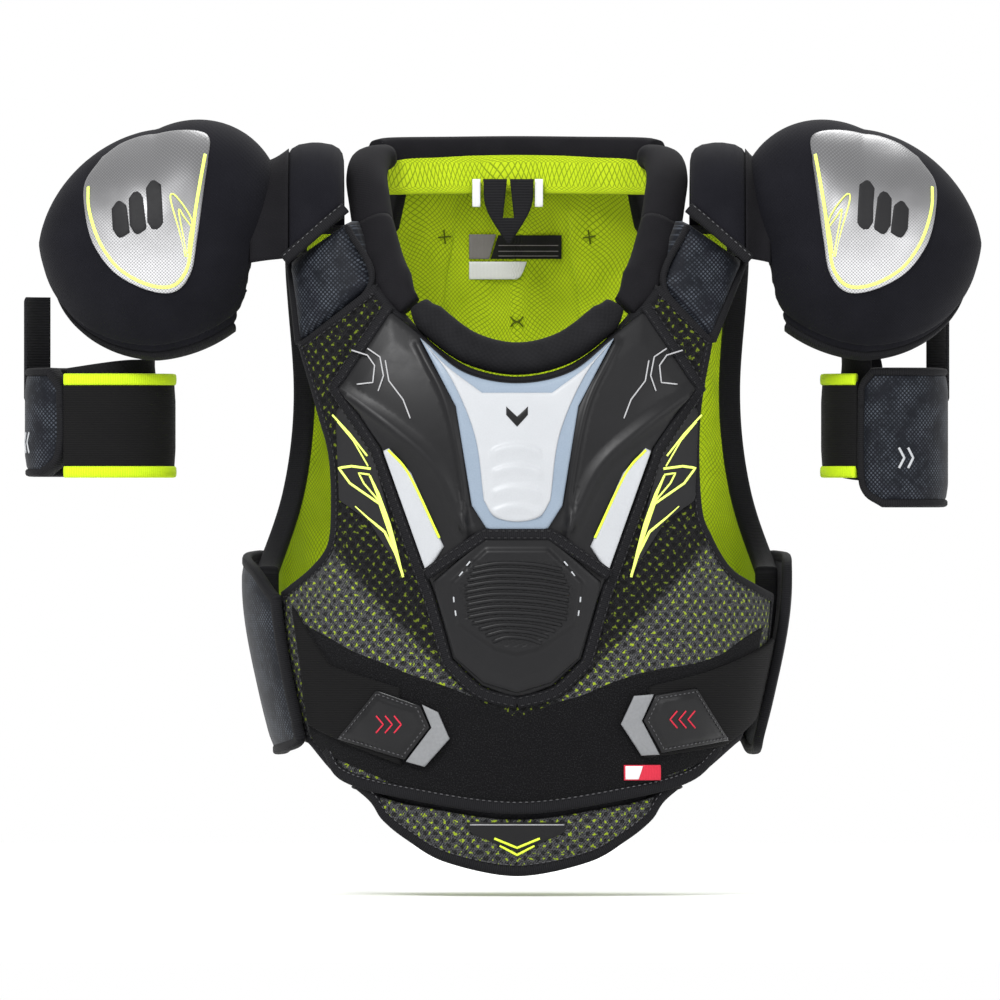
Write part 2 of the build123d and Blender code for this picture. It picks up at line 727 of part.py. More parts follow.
# ------------------------------------------------------------------ hang loop
with BuildPart() as hang_loop:
    with BuildSketch(Plane.XZ.offset(-LOOP_Y)):
        with BuildLine():
            Polyline(
                (-LOOP_WIDTH / 2, LOOP_TOP), (-LOOP_WIDTH / 2 + 2, LOOP_TOP - 20),
                (0, LOOP_TOP - LOOP_LENGTH), (LOOP_WIDTH / 2 - 2, LOOP_TOP - 20),
                (LOOP_WIDTH / 2, LOOP_TOP), close=True,
            )
        make_face()
        with Locations((0, LOOP_TOP - 15)):
            Rectangle(LOOP_SLOT, 20, mode=Mode.SUBTRACT)
    extrude(amount=LOOP_TAPE)
save(hang_loop.part, "hang_loop")
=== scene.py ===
"""The looks of a pair of ice hockey shoulder pads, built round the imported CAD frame.

Lengths are in mm until a mesh is made. +Z is up, the wearer faces -Y, +X is the wearer's left.
Every panel is drawn flat, in mm along the cloth, and then laid on the surface that it covers.
"""

import math

import bpy
import numpy as np
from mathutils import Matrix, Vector
from mathutils.geometry import delaunay_2d_cdt


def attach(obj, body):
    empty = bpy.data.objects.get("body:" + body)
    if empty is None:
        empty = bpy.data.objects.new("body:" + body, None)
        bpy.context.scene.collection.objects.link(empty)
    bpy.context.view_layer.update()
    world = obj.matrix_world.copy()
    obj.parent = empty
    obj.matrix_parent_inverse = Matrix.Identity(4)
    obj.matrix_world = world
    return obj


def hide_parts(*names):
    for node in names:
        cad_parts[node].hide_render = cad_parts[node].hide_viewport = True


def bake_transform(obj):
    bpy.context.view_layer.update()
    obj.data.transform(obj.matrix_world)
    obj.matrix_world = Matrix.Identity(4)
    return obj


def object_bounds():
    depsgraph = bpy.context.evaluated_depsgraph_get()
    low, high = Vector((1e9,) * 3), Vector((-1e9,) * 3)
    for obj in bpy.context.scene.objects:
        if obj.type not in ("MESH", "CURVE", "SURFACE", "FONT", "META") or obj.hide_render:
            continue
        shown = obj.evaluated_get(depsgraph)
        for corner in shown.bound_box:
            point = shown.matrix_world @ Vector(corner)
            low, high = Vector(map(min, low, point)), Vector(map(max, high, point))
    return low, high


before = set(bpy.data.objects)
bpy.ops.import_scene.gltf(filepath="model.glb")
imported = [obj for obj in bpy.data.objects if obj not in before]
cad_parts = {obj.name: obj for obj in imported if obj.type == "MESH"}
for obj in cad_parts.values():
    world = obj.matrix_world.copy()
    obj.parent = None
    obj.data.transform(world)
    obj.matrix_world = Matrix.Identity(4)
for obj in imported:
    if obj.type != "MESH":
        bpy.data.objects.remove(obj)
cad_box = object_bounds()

MM = 0.001
SIDES = {"left": 1, "right": -1}

# ------------------------------------------------------------------ the body form, as in the CAD
# height, half width, depth in front, depth behind, squareness of the section
STATIONS = np.array([
    (-400, 98, 84, 84, 2.3), (-345, 116, 96, 88, 2.3), (-290, 131, 100, 92, 2.3),
    (-230, 141, 101, 96, 2.3), (-170, 136, 100, 98, 2.6), (-110, 129, 91, 97, 3.1),
    (-60, 126, 72, 89, 3.6), (-20, 124, 52, 72, 4.0), (12, 122, 38, 53, 4.0), (36, 118, 24, 38, 4.0),
])
SLOPES = np.gradient(STATIONS[:, 1:], STATIONS[:, 0], axis=0)
REFERENCE = 11.0  # the layer on which panels are drawn at true size
ROW_STEP = 4.0
ROWS = np.arange(-400, 37, ROW_STEP)
TURNS = np.linspace(0, np.pi, 721)


def station_values(z):
    """Half width, both depths and squareness at heights z."""
    knots = STATIONS[:, 0]
    z = np.clip(z, knots[0], knots[-1])
    i = np.clip(np.searchsorted(knots, z) - 1, 0, len(knots) - 2)
    span = knots[i + 1] - knots[i]
    t = ((z - knots[i]) / span)[..., None]
    span = span[..., None]
    value = (
        STATIONS[i, 1:] * (1 + 2 * t) * (1 - t) ** 2 + STATIONS[i + 1, 1:] * t * t * (3 - 2 * t)
        + span * (SLOPES[i] * t * (1 - t) ** 2 - SLOPES[i + 1] * t * t * (1 - t))
    )
    return np.moveaxis(value, -1, 0)


def form(turn, z, d):
    """Points of the body form grown by d. turn is 0 in front, pi behind."""
    half_width, front, back, square = station_values(z)
    across, along = np.sin(turn), np.cos(turn)
    x = (half_width + d) * np.abs(across) ** (2 / square)
    depth = np.where(along > 0, -(front + d), back + d)
    return x, depth * np.abs(along) ** (2 / square)


ring_x, ring_y = form(TURNS[None, :] + 0 * ROWS[:, None], ROWS[:, None] + 0 * TURNS[None, :], REFERENCE)
steps = np.hypot(np.diff(ring_x, axis=1), np.diff(ring_y, axis=1))
ARC = np.concatenate([np.zeros((len(ROWS), 1)), np.cumsum(steps, axis=1)], axis=1)
SHARES = 1200
TURN_AT = np.array([np.interp(np.linspace(0, a[-1], SHARES + 1), a, TURNS) for a in ARC])


def look_up(table, z, column):
    """Value of a table with one row for each height, between rows and columns."""
    r = np.clip((z - ROWS[0]) / ROW_STEP, 0, len(ROWS) - 1.001)
    c = np.clip(column, 0, table.shape[1] - 1.001)
    i, j = r.astype(int), c.astype(int)
    fr, fc = r - i, c - j
    low = table[i, j] * (1 - fc) + table[i, j + 1] * fc
    high = table[i + 1, j] * (1 - fc) + table[i + 1, j + 1] * fc
    return low * (1 - fr) + high * fr


def half_girth(z):
    return np.interp(z, ROWS, ARC[:, -1])


def side_girth(z):
    return np.interp(z, ROWS, ARC[:, (len(TURNS) - 1) // 2])


def wrap(around, z, d):
    """Points on the form at a distance round it from the middle of the front."""
    share = np.abs(around) / half_girth(z) * SHARES
    x, y = form(look_up(TURN_AT, z, share), z, d)
    return np.stack([np.sign(around) * x, y, z], axis=-1)


def front(u, z, d):
    return wrap(u, z, d)


def back(u, z, d):
    return wrap(np.where(u < 0, -1, 1) * (half_girth(z) - np.abs(u)), z, d)


def inside_out(place):
    """The same surface seen from within: rising means rising towards the wearer."""
    return lambda u, v, d: place(u, v, -d)


def side(sign):
    """Laid on one side of the body: u runs backwards from the side line."""
    return lambda u, z, d: wrap(sign * (side_girth(z) + u), z, d)


def turn_from_x(x, z):
    half_width, _, _, square = station_values(z)
    return np.arcsin(np.minimum(1, np.abs(x) / (half_width + REFERENCE)) ** (square / 2))


def arc_at(turn, z):
    return look_up(ARC, z, turn / np.pi * (len(TURNS) - 1))


def on_front(points):
    """(x, z) points seen from the front, as (u, z) on the cloth."""
    x, z = np.asarray(points, float).T
    return np.stack([np.sign(x) * arc_at(turn_from_x(x, z), z), z], axis=-1)


def turn_from_y(y, z):
    _, front_depth, back_depth, square = station_values(z)
    depth = np.where(y < 0, front_depth, back_depth) + REFERENCE
    turn = np.arccos(np.minimum(1, np.abs(y) / depth) ** (square / 2))
    return np.where(y < 0, turn, np.pi - turn)


def on_side(points):
    """(y, z) points seen from the side, as (u, z) on the cloth behind the side line."""
    y, z = np.asarray(points, float).T
    return np.stack([arc_at(turn_from_y(y, z), z) - side_girth(z), z], axis=-1)


def flat(y):
    """A plane facing the front at depth y."""
    return lambda u, z, d: np.stack([u, y - d, z], axis=-1)


# ------------------------------------------------------------------ outlines
def smooth_run(points, step):
    """Points along a smooth curve through the given ones."""
    p = np.asarray(points, float)
    if len(p) > 2:
        ends = np.vstack([2 * p[0] - p[1], p, 2 * p[-1] - p[-2]])
        t = np.linspace(0, 1, 14, endpoint=False)[:, None]
        pieces = []
        for a, b, c, d in zip(ends, ends[1:], ends[2:], ends[3:]):
            pieces.append(
                0.5 * (2 * b + (c - a) * t + (2 * a - 5 * b + 4 * c - d) * t**2
                       + (3 * b - a - 3 * c + d) * t**3)
            )
        p = np.vstack([*pieces, p[-1:]])
    length = np.concatenate([[0], np.cumsum(np.linalg.norm(np.diff(p, axis=0), axis=1))])
    count = max(1, int(round(length[-1] / step)))
    at = np.linspace(0, length[-1], count + 1)
    return np.stack([np.interp(at, length, p[:, k]) for k in range(p.shape[1])], axis=-1)


def cornered(here, *runs, step=2.5):
    """An open line from a point: smooth within a run of points, with a corner where runs meet."""
    stretches = []
    for run in runs:
        stretches.append(smooth_run([here, *run], step)[:-1])
        here = run[-1]
    return np.vstack([*stretches, [here]])


def pointed(points, step=1.5):
    """An open line with straight stretches and sharp corners."""
    return cornered(points[0], *[[p] for p in points[1:]], step=step)


def closed(*runs, step=2.5):
    """A closed polygon: smooth within a run of points, with a corner where runs meet."""
    return cornered(runs[-1][-1], *runs, step=step)[:-1]


def straight(points, step=2.5):
    """A closed polygon with straight sides."""
    return closed(*[[p] for p in points], step=step)


def mirror_run(points):
    return [(-x, z) for x, z in reversed(points)]


def for_side(points, sign):
    return [(sign * x, z) for x, z in points]


def inward(polygon):
    """The inward normal at each point of a polygon."""
    p = np.asarray(polygon, float)
    along = np.roll(p, -1, axis=0) - np.roll(p, 1, axis=0)
    along /= np.linalg.norm(along, axis=1)[:, None] + 1e-9
    area = np.sum(p[:, 0] * np.roll(p[:, 1], -1) - np.roll(p[:, 0], -1) * p[:, 1])
    return np.stack([-along[:, 1], along[:, 0]], axis=-1) * np.sign(area)


def shrink(polygon, distance):
    return np.asarray(polygon, float) + inward(polygon) * distance


def distance_to(line, points, is_closed=True):
    """Distance from each point to a polyline."""
    a = np.asarray(line, float)
    b = np.roll(a, -1, axis=0)
    if not is_closed:
        a, b = a[:-1], b[:-1]
    result = np.full(len(points), 1e9)
    for start in range(0, len(points), 4000):
        p = points[start:start + 4000, None, :]
        ab = (b - a)[None]
        t = np.clip(np.sum((p - a) * ab, axis=2) / (np.sum(ab * ab, axis=2) + 1e-12), 0, 1)
        gap = np.linalg.norm(p - a - t[..., None] * ab, axis=2)
        result[start:start + 4000] = gap.min(axis=1)
    return result


def is_inside(polygon, points):
    """Which points lie inside a polygon."""
    a = np.asarray(polygon, float)
    b = np.roll(a, -1, axis=0)
    result = np.zeros(len(points), bool)
    for start in range(0, len(points), 4000):
        p = points[start:start + 4000]
        crosses = (a[:, 1] > p[:, 1:]) != (b[:, 1] > p[:, 1:])
        rise = np.where(np.abs(b[:, 1] - a[:, 1]) < 1e-12, 1e-12, b[:, 1] - a[:, 1])
        at = a[:, 0] + (p[:, 1:] - a[:, 1]) / rise * (b[:, 0] - a[:, 0])
        result[start:start + 4000] = (np.sum(crosses & (p[:, :1] < at), axis=1) % 2) == 1
    return result


# ------------------------------------------------------------------ making meshes
def make(name, points, faces, material, body, lay):
    """A mesh object from points in mm, which rides on a CAD body unless body is None.

    material is a key of MATERIALS; lay is each point's place on the cloth.
    """
    mesh = bpy.data.meshes.new(name)
    mesh.from_pydata((np.asarray(points, float) * MM).tolist(), [], faces)
    if material:
        mesh.materials.append(MATERIALS[material])
    mesh.polygons.foreach_set("use_smooth", [True] * len(mesh.polygons))
    attribute = mesh.attributes.new("lay", "FLOAT_VECTOR", "POINT")
    attribute.data.foreach_set("vector", np.asarray(lay, np.float32).ravel())
    mesh.update()
    obj = bpy.data.objects.new(name, mesh)
    bpy.context.scene.collection.objects.link(obj)
    if body:
        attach(obj, body)
    return obj


def turned_out(points, faces):
    """The faces wound so that the closed mesh has its outside out."""
    p = np.asarray(points, float)
    volume = 0.0
    for f in faces:
        for k in range(1, len(f) - 1):
            volume += np.dot(p[f[0]], np.cross(p[f[k]], p[f[k + 1]]))
    return faces if volume > 0 else [tuple(reversed(f)) for f in faces]


class Seam:
    """A sewn line in a panel: the cloth dips along it, or stands up if the depth is negative."""

    def __init__(self, points, half_width=1.0, depth=1.0):
        self.line = smooth_run(points, 1.6)
        self.half_width, self.depth = half_width, depth

    def anchors(self):
        along = np.gradient(self.line, axis=0)
        along /= np.linalg.norm(along, axis=1)[:, None] + 1e-9
        across = np.stack([-along[:, 1], along[:, 0]], axis=-1)
        return np.vstack([self.line + across * k * self.half_width for k in (-1.7, -0.8, 0, 0.8, 1.7)])

    def relief(self, points):
        gap = distance_to(self.line, points, is_closed=False)
        return -self.depth * np.exp(-((gap / self.half_width) ** 2))


def puffed(rise, breadth):
    """Relief for a panel that rises from nothing at its edge to its full height a breadth inside."""
    return lambda u, v, inset: rise * np.minimum(inset / breadth, 1)


def panel_cloud(edge, spacing, rounding, seams):
    """Mesh points inside an outline: its edge, rings along it, rows along the seams and a grid."""
    lo, hi = edge.min(0), edge.max(0)
    rows = np.arange(lo[1], hi[1] + spacing, spacing * 0.866)
    grid = np.array([
        (x + (k % 2) * spacing / 2, y)
        for k, y in enumerate(rows) for x in np.arange(lo[0], hi[0] + spacing, spacing)
    ])
    kept = []
    for share in (0.12, 0.4, 1.0):
        ring = shrink(edge, rounding * share)
        kept.append(ring[is_inside(edge, ring) & (distance_to(edge, ring) > rounding * share * 0.93)])
    for seam in seams:
        anchors = seam.anchors()
        kept.append(anchors[is_inside(edge, anchors) & (distance_to(edge, anchors) > 0.5)])
    grid = grid[is_inside(edge, grid)]
    grid = grid[distance_to(edge, grid) > rounding + spacing * 0.4]
    for seam in seams:
        near = seam.half_width * 1.7 + spacing * 0.35
        grid = grid[distance_to(seam.line, grid, is_closed=False) > near]
    return np.vstack([edge, *kept, grid])


def panel(name, edge, place, low, thickness, material, body, spacing=3.0, rounding=3.0,
          seams=(), relief=None, rim=0.35):
    """A padded panel inside an outline, with a rounded edge, seams and relief on its outer face."""
    edge = np.asarray(edge, float)
    cloud = panel_cloud(edge, spacing, rounding, seams)
    verts, _, faces, _, _, _ = delaunay_2d_cdt(
        [Vector(p) for p in cloud], [], [list(range(len(edge)))], 1, 1e-4
    )
    flat_points = np.array([(v.x, v.y) for v in verts])
    inset = distance_to(edge, flat_points)
    swell = np.sqrt(np.clip(1 - (1 - np.minimum(inset / rounding, 1)) ** 2, 0, 1))
    height = low + thickness * (rim + (1 - rim) * swell)
    if relief is not None:
        height = height + relief(flat_points[:, 0], flat_points[:, 1], inset)
    for seam in seams:
        height = height + seam.relief(flat_points) * np.minimum(inset / rounding, 1)
    height = np.maximum(height, low + 0.15 * thickness)
    u, v = flat_points.T
    count = len(flat_points)
    points = np.vstack([place(u, v, height), place(u, v, low + 0 * u)])
    walls = {}
    for f in faces:
        for a, b in zip(f, f[1:] + f[:1]):
            if (b, a) in walls:
                del walls[b, a]
            else:
                walls[a, b] = True
    solid = [tuple(f) for f in faces] + [tuple(i + count for i in reversed(f)) for f in faces]
    solid += [(b, a, a + count, b + count) for a, b in walls]
    lay = np.stack([np.tile(u, 2), np.tile(v, 2), np.concatenate([height, low + 0 * u])], axis=-1)
    used = sorted({i for f in solid for i in f})
    renumber = {old: new for new, old in enumerate(used)}
    solid = [tuple(renumber[i] for i in f) for f in solid]
    points, lay = points[used], lay[used]
    return make(name, points, turned_out(points, solid), material, body, lay)


def sweep(name, path, up, half_width, half_height, material, body, is_closed=False, sides=12,
          squareness=2.6, taper=None):
    """A tube along a path in mm. Its flat faces look along up; taper scales it along its length."""
    path, up = np.asarray(path, float), np.asarray(up, float)
    if is_closed:
        tangent = np.roll(path, -1, axis=0) - np.roll(path, 1, axis=0)
    else:
        tangent = np.gradient(path, axis=0)
    tangent /= np.linalg.norm(tangent, axis=1)[:, None] + 1e-9
    up = up - tangent * np.sum(up * tangent, axis=1)[:, None]
    up /= np.linalg.norm(up, axis=1)[:, None] + 1e-9
    across = np.cross(tangent, up)
    turn = np.linspace(0, 2 * np.pi, sides, endpoint=False)
    c = np.sign(np.cos(turn)) * np.abs(np.cos(turn)) ** (2 / squareness)
    s = np.sign(np.sin(turn)) * np.abs(np.sin(turn)) ** (2 / squareness)
    scale = np.ones(len(path)) if taper is None else np.asarray(taper, float)
    rings = (
        path[:, None] + across[:, None] * (c * half_width)[None, :, None] * scale[:, None, None]
        + up[:, None] * (s * half_height)[None, :, None] * scale[:, None, None]
    )
    n = len(path)
    points = rings.reshape(-1, 3)
    faces = []
    for i in range(n if is_closed else n - 1):
        j = (i + 1) % n
        for k in range(sides):
            m = (k + 1) % sides
            faces.append((i * sides + k, i * sides + m, j * sides + m, j * sides + k))
    if not is_closed:
        faces += [tuple(reversed(range(sides))), tuple((n - 1) * sides + k for k in range(sides))]
    along = np.concatenate([[0], np.cumsum(np.linalg.norm(np.diff(path, axis=0), axis=1))])
    girth = np.linspace(0, 2 * math.pi * max(half_width, half_height), sides, endpoint=False)
    lay = np.stack(
        [np.repeat(along, sides), np.tile(girth, n), np.zeros(n * sides)], axis=-1
    )
    return make(name, points, turned_out(points, faces), material, body, lay)


def laid(line, place, d):
    """A flat line laid on a surface at height d, and the surface's outward direction along it."""
    u, v = np.asarray(line, float).T
    path = place(u, v, d + 0 * u)
    up = place(u, v, d + 1.0 + 0 * u) - path
    return path, up / (np.linalg.norm(up, axis=1)[:, None] + 1e-9)


def tape(name, line, place, d, width, height, material, body, is_closed=False, taper=None, sides=10,
         squareness=3.0):
    """A flat tape or a printed line along a surface, half sunk at height d."""
    path, up = laid(line, place, d)
    return sweep(name, path, up, width / 2, height / 2, material, body, is_closed, sides,
                 squareness, taper)


def merge(name, objects, body, slot):
    """Several meshes of one material as one piece, which replaces them and rides on a CAD body."""
    points, faces, lay = [], [], []
    for o in objects:
        first = len(points)
        points += [v.co / MM for v in o.data.vertices]
        lay += [v.vector for v in o.data.attributes["lay"].data]
        faces += [tuple(first + i for i in p.vertices) for p in o.data.polygons]
    made = make(name, points, faces, None, None, lay)
    made.data.materials.append(objects[0].data.materials[0])
    for o in objects:
        bpy.data.objects.remove(o)
    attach(made, body)
    stands(made, slot)


def stitches(name, line, place, d, material, body, length=2.4, gap=1.5, radius=0.42):
    """A row of stitches along a line on a surface."""
    path, up = laid(smooth_run(line, 0.4), place, d)
    at = np.concatenate([[0], np.cumsum(np.linalg.norm(np.diff(path, axis=0), axis=1))])
    points, faces, lays = [], [], []
    ring = np.linspace(0, 2 * np.pi, 6, endpoint=False)
    for start in np.arange(gap, at[-1] - length, length + gap):
        t = start + np.linspace(0, length, 5)
        centre = np.stack([np.interp(t, at, path[:, k]) for k in range(3)], axis=-1)
        lift = np.stack([np.interp(t, at, up[:, k]) for k in range(3)], axis=-1)
        size = radius * np.array([0.35, 0.9, 1.0, 0.9, 0.35])
        centre = centre + lift * (size - radius * 0.6)[:, None]
        tangent = (centre[-1] - centre[0]) / (np.linalg.norm(centre[-1] - centre[0]) + 1e-9)
        across = np.cross(tangent, lift)
        body_of_stitch = (
            centre[:, None] + across[:, None] * (np.cos(ring) * 1.15)[None, :, None] * size[:, None, None]
            + lift[:, None] * np.sin(ring)[None, :, None] * size[:, None, None]
        )
        first = len(points) * 30
        points.append(body_of_stitch.reshape(-1, 3))
        lays.append(np.tile([start, 0, 0], (30, 1)))
        for i in range(4):
            for k in range(6):
                m = (k + 1) % 6
                faces.append((first + i * 6 + k, first + (i + 1) * 6 + k,
                              first + (i + 1) * 6 + m, first + i * 6 + m))
        faces.append(tuple(first + k for k in range(6)))
        faces.append(tuple(first + 24 + k for k in reversed(range(6))))
    points = np.vstack(points)
    return make(name, points, turned_out(points, faces), material, body, np.vstack(lays))


def parallel(line, offset):
    """An open line moved sideways; a positive offset is to the left of its direction."""
    p = np.asarray(line, float)
    along = np.gradient(p, axis=0)
    along /= np.linalg.norm(along, axis=1)[:, None] + 1e-9
    return p + np.stack([-along[:, 1], along[:, 0]], axis=-1) * offset


# ------------------------------------------------------------------ materials
def node(tree, kind, inputs=(), **settings):
    """A shader node with its settings and inputs, which are values or other nodes' sockets."""
    made = tree.nodes.new(kind)
    for key, value in settings.items():
        setattr(made, key, value)
    for key, value in dict(inputs).items():
        if isinstance(value, bpy.types.NodeSocket):
            tree.links.new(value, made.inputs[key])
        else:
            made.inputs[key].default_value = value
    return made


def calc(tree, operation, a, b=0.0):
    return node(tree, "ShaderNodeMath", {0: a, 1: b}, operation=operation).outputs[0]


def plus(tree, a, b):
    return calc(tree, "ADD", a, b)


def minus(tree, a, b):
    return calc(tree, "SUBTRACT", a, b)


def times(tree, a, b):
    return calc(tree, "MULTIPLY", a, b)


def blend_colour(tree, factor, a, b):
    mix = node(tree, "ShaderNodeMix", data_type="RGBA")
    for index, value in ((0, factor), (6, a), (7, b)):
        if isinstance(value, bpy.types.NodeSocket):
            tree.links.new(value, mix.inputs[index])
        else:
            mix.inputs[index].default_value = value if index == 0 else (*value, 1.0)
    return mix.outputs[2]


def ramp(tree, value, low, high):
    """0 below low, 1 above high, smooth between."""
    return node(
        tree, "ShaderNodeMapRange", {0: value, 1: low, 2: high}, interpolation_type="SMOOTHSTEP"
    ).outputs[0]


def start_material(name, roughness=0.8, sheen=0.0, sheen_roughness=0.5, specular=0.5, coat=0.0,
                   coat_roughness=0.2, metallic=0.0):
    """A material with its principled shader's constant values set on the shader's own sockets."""
    material = bpy.data.materials.new(name)
    material.use_nodes = True
    tree = material.node_tree
    shader = tree.nodes["Principled BSDF"]
    shader.inputs["Roughness"].default_value = roughness
    shader.inputs["Sheen Weight"].default_value = sheen
    shader.inputs["Sheen Roughness"].default_value = sheen_roughness
    shader.inputs["Specular IOR Level"].default_value = specular
    shader.inputs["Coat Weight"].default_value = coat
    shader.inputs["Coat Roughness"].default_value = coat_roughness
    shader.inputs["Metallic"].default_value = metallic
    return material, tree, shader


def cloth_place(tree, scale=1.0, turn=0.0, shift=(0, 0, 0)):
    """Position along the cloth in units of scale mm, turned by an angle."""
    lay = node(tree, "ShaderNodeAttribute", attribute_name="lay")
    mapped = node(
        tree, "ShaderNodeMapping",
        {"Vector": lay.outputs["Vector"], "Rotation": (0, 0, turn), "Scale": (1 / scale,) * 3,
         "Location": shift},
    )
    flat_cut = node(tree, "ShaderNodeVectorMath", {0: mapped.outputs[0], 1: (1, 1, 0)},
                    operation="MULTIPLY")
    return flat_cut.outputs[0]


def noise(tree, place, scale=1.0, detail=2.0, roughness=0.5):
    return node(
        tree, "ShaderNodeTexNoise",
        {"Vector": place, "Scale": scale, "Detail": detail, "Roughness": roughness},
    ).outputs[0]


def dots(tree, place, randomness=0.0):
    """Distance to the nearest point of a square lattice."""
    return node(
        tree, "ShaderNodeTexVoronoi",
        {"Vector": place, "Scale": 1.0, "Randomness": randomness}, voronoi_dimensions="2D",
    ).outputs["Distance"]


def finish_material(tree, shader, colour, height=None, bump=0.4, depth=0.3, roughness=None):
    tree.links.new(colour, shader.inputs["Base Color"])
    if height is not None:
        lift = node(
            tree, "ShaderNodeBump", {"Strength": bump, "Distance": depth * MM, "Height": height}
        )
        tree.links.new(lift.outputs[0], shader.inputs["Normal"])
    if roughness is not None:
        tree.links.new(roughness, shader.inputs["Roughness"])


def knit(name, dark, light, pitch=1.3, sheen=0.35, roughness=0.85, bump=0.45):
    """A fine stretch knit: a staggered lattice of loops, with slow changes of tone."""
    material, tree, shader = start_material(name, roughness, sheen, 0.45, 0.06)
    loops = dots(tree, cloth_place(tree, pitch, math.radians(45)))
    slow = noise(tree, cloth_place(tree, 22.0), 1.0, 3.0)
    fuzz = noise(tree, cloth_place(tree, 0.9), 1.0, 2.0)
    tone = plus(tree, times(tree, slow, 0.6), times(tree, fuzz, 0.5))
    tone = minus(tree, tone, times(tree, loops, 0.25))
    colour = blend_colour(tree, tone, dark, light)
    height = minus(tree, 1.0, loops)
    rough = plus(tree, roughness - 0.08, times(tree, fuzz, 0.16))
    finish_material(tree, shader, colour, height, bump, 0.3, rough)
    return material


def ribbed(name, dark, light, pitch=1.1, along=True, sheen=0.02, roughness=0.75, bump=0.5):
    """Woven tape or elastic: fine ribs across or along it."""
    material, tree, shader = start_material(name, roughness, sheen, 0.4, 0.08)
    place = node(tree, "ShaderNodeSeparateXYZ", {0: cloth_place(tree, pitch)})
    wave = calc(tree, "SINE", times(tree, place.outputs[0 if along else 1], 2 * math.pi))
    wave = plus(tree, times(tree, wave, 0.5), 0.5)
    cross = calc(tree, "SINE", times(tree, place.outputs[1 if along else 0], 4 * math.pi))
    fuzz = noise(tree, cloth_place(tree, 1.4), 1.0, 2.0)
    slow = noise(tree, cloth_place(tree, 18.0), 1.0, 2.0)
    tone = plus(tree, times(tree, wave, 0.45), times(tree, fuzz, 0.35))
    tone = plus(tree, tone, times(tree, slow, 0.2))
    height = plus(tree, wave, times(tree, cross, 0.15))
    rough = plus(tree, roughness - 0.06, times(tree, fuzz, 0.12))
    finish_material(tree, shader, blend_colour(tree, tone, dark, light), height, bump, 0.25, rough)
    return material


def speckled_mesh():
    """Open spacer mesh: grey flecked yarn round dark holes, with lime dashes in staggered rows."""
    material, tree, shader = start_material("speckled_mesh", 0.8, 0.02, 0.5, 0.06)
    wave = noise(tree, cloth_place(tree, 9.0), 1.0, 1.0)
    place = node(
        tree, "ShaderNodeVectorMath",
        {0: cloth_place(tree, 5.2, math.radians(45)),
         1: node(tree, "ShaderNodeCombineXYZ", {0: wave, 1: wave}).outputs[0]}, operation="ADD",
    ).outputs[0]
    lime_at = dots(tree, place, 0.15)
    shifted = node(tree, "ShaderNodeVectorMath", {0: place, 1: (0.5, 0.5, 0)}, operation="ADD")
    hole_at = dots(tree, shifted.outputs[0], 0.15)
    fleck = noise(tree, cloth_place(tree, 0.8), 1.0, 2.0, 0.7)
    grain = noise(tree, cloth_place(tree, 1.5, math.radians(35)), 1.0, 1.0)
    twill = node(tree, "ShaderNodeSeparateXYZ", {0: cloth_place(tree, 1.3, math.radians(38))})
    twill = calc(tree, "SINE", times(tree, twill.outputs[0], 2 * math.pi))
    twill = plus(tree, times(tree, twill, 0.5), 0.5)
    lay = node(tree, "ShaderNodeAttribute", attribute_name="lay")
    part = node(tree, "ShaderNodeSeparateXYZ", {0: lay.outputs["Vector"]})
    out = calc(tree, "ABSOLUTE", part.outputs[0])
    open_zone = ramp(tree, minus(tree, minus(tree, out, 318.0), part.outputs[1]), -8.0, 8.0)
    yarn = plus(tree, times(tree, ramp(tree, fleck, 0.42, 0.62), 0.65), times(tree, twill, 0.35))
    bright = times(tree, yarn, plus(tree, 0.12, times(tree, open_zone, 0.88)))
    colour = blend_colour(tree, bright, (0.004, 0.004, 0.0045), (0.095, 0.097, 0.10))
    hole = minus(tree, 1.0, ramp(tree, hole_at, 0.16, 0.32))
    colour = blend_colour(tree, times(tree, hole, 0.7), colour, (0.004, 0.004, 0.004))
    ragged = plus(tree, lime_at, times(tree, minus(tree, grain, 0.5), 0.9))
    lime = minus(tree, 1.0, ramp(tree, ragged, 0.07, 0.19))
    lime = times(tree, lime, plus(tree, 0.35, times(tree, open_zone, 0.5)))
    colour = blend_colour(tree, lime, colour, (0.27, 0.36, 0.012))
    height = minus(tree, plus(tree, fleck, times(tree, grain, 0.4)), hole)
    finish_material(tree, shader, colour, height, 0.9, 0.6)
    return material


def dotted_fabric():
    """Dark navy fabric printed with a lattice of small pale hexagons that fade in and out."""
    material, tree, shader = start_material("dotted_fabric", 0.6, 0.03, 0.5, 0.12)
    lattice = dots(tree, cloth_place(tree, 1.9, math.radians(45)))
    cloud = noise(tree, cloth_place(tree, 15.0), 1.0, 2.0)
    small = noise(tree, cloth_place(tree, 3.4), 1.0, 1.0)
    dot = minus(tree, 1.0, ramp(tree, lattice, 0.26, 0.38))
    fade = ramp(tree, plus(tree, times(tree, cloud, 0.75), times(tree, small, 0.35)), 0.42, 0.72)
    colour = blend_colour(
        tree, times(tree, dot, fade), (0.004, 0.005, 0.008), (0.050, 0.058, 0.072)
    )
    finish_material(tree, shader, colour, plus(tree, dot, small), 0.3, 0.2)
    return material


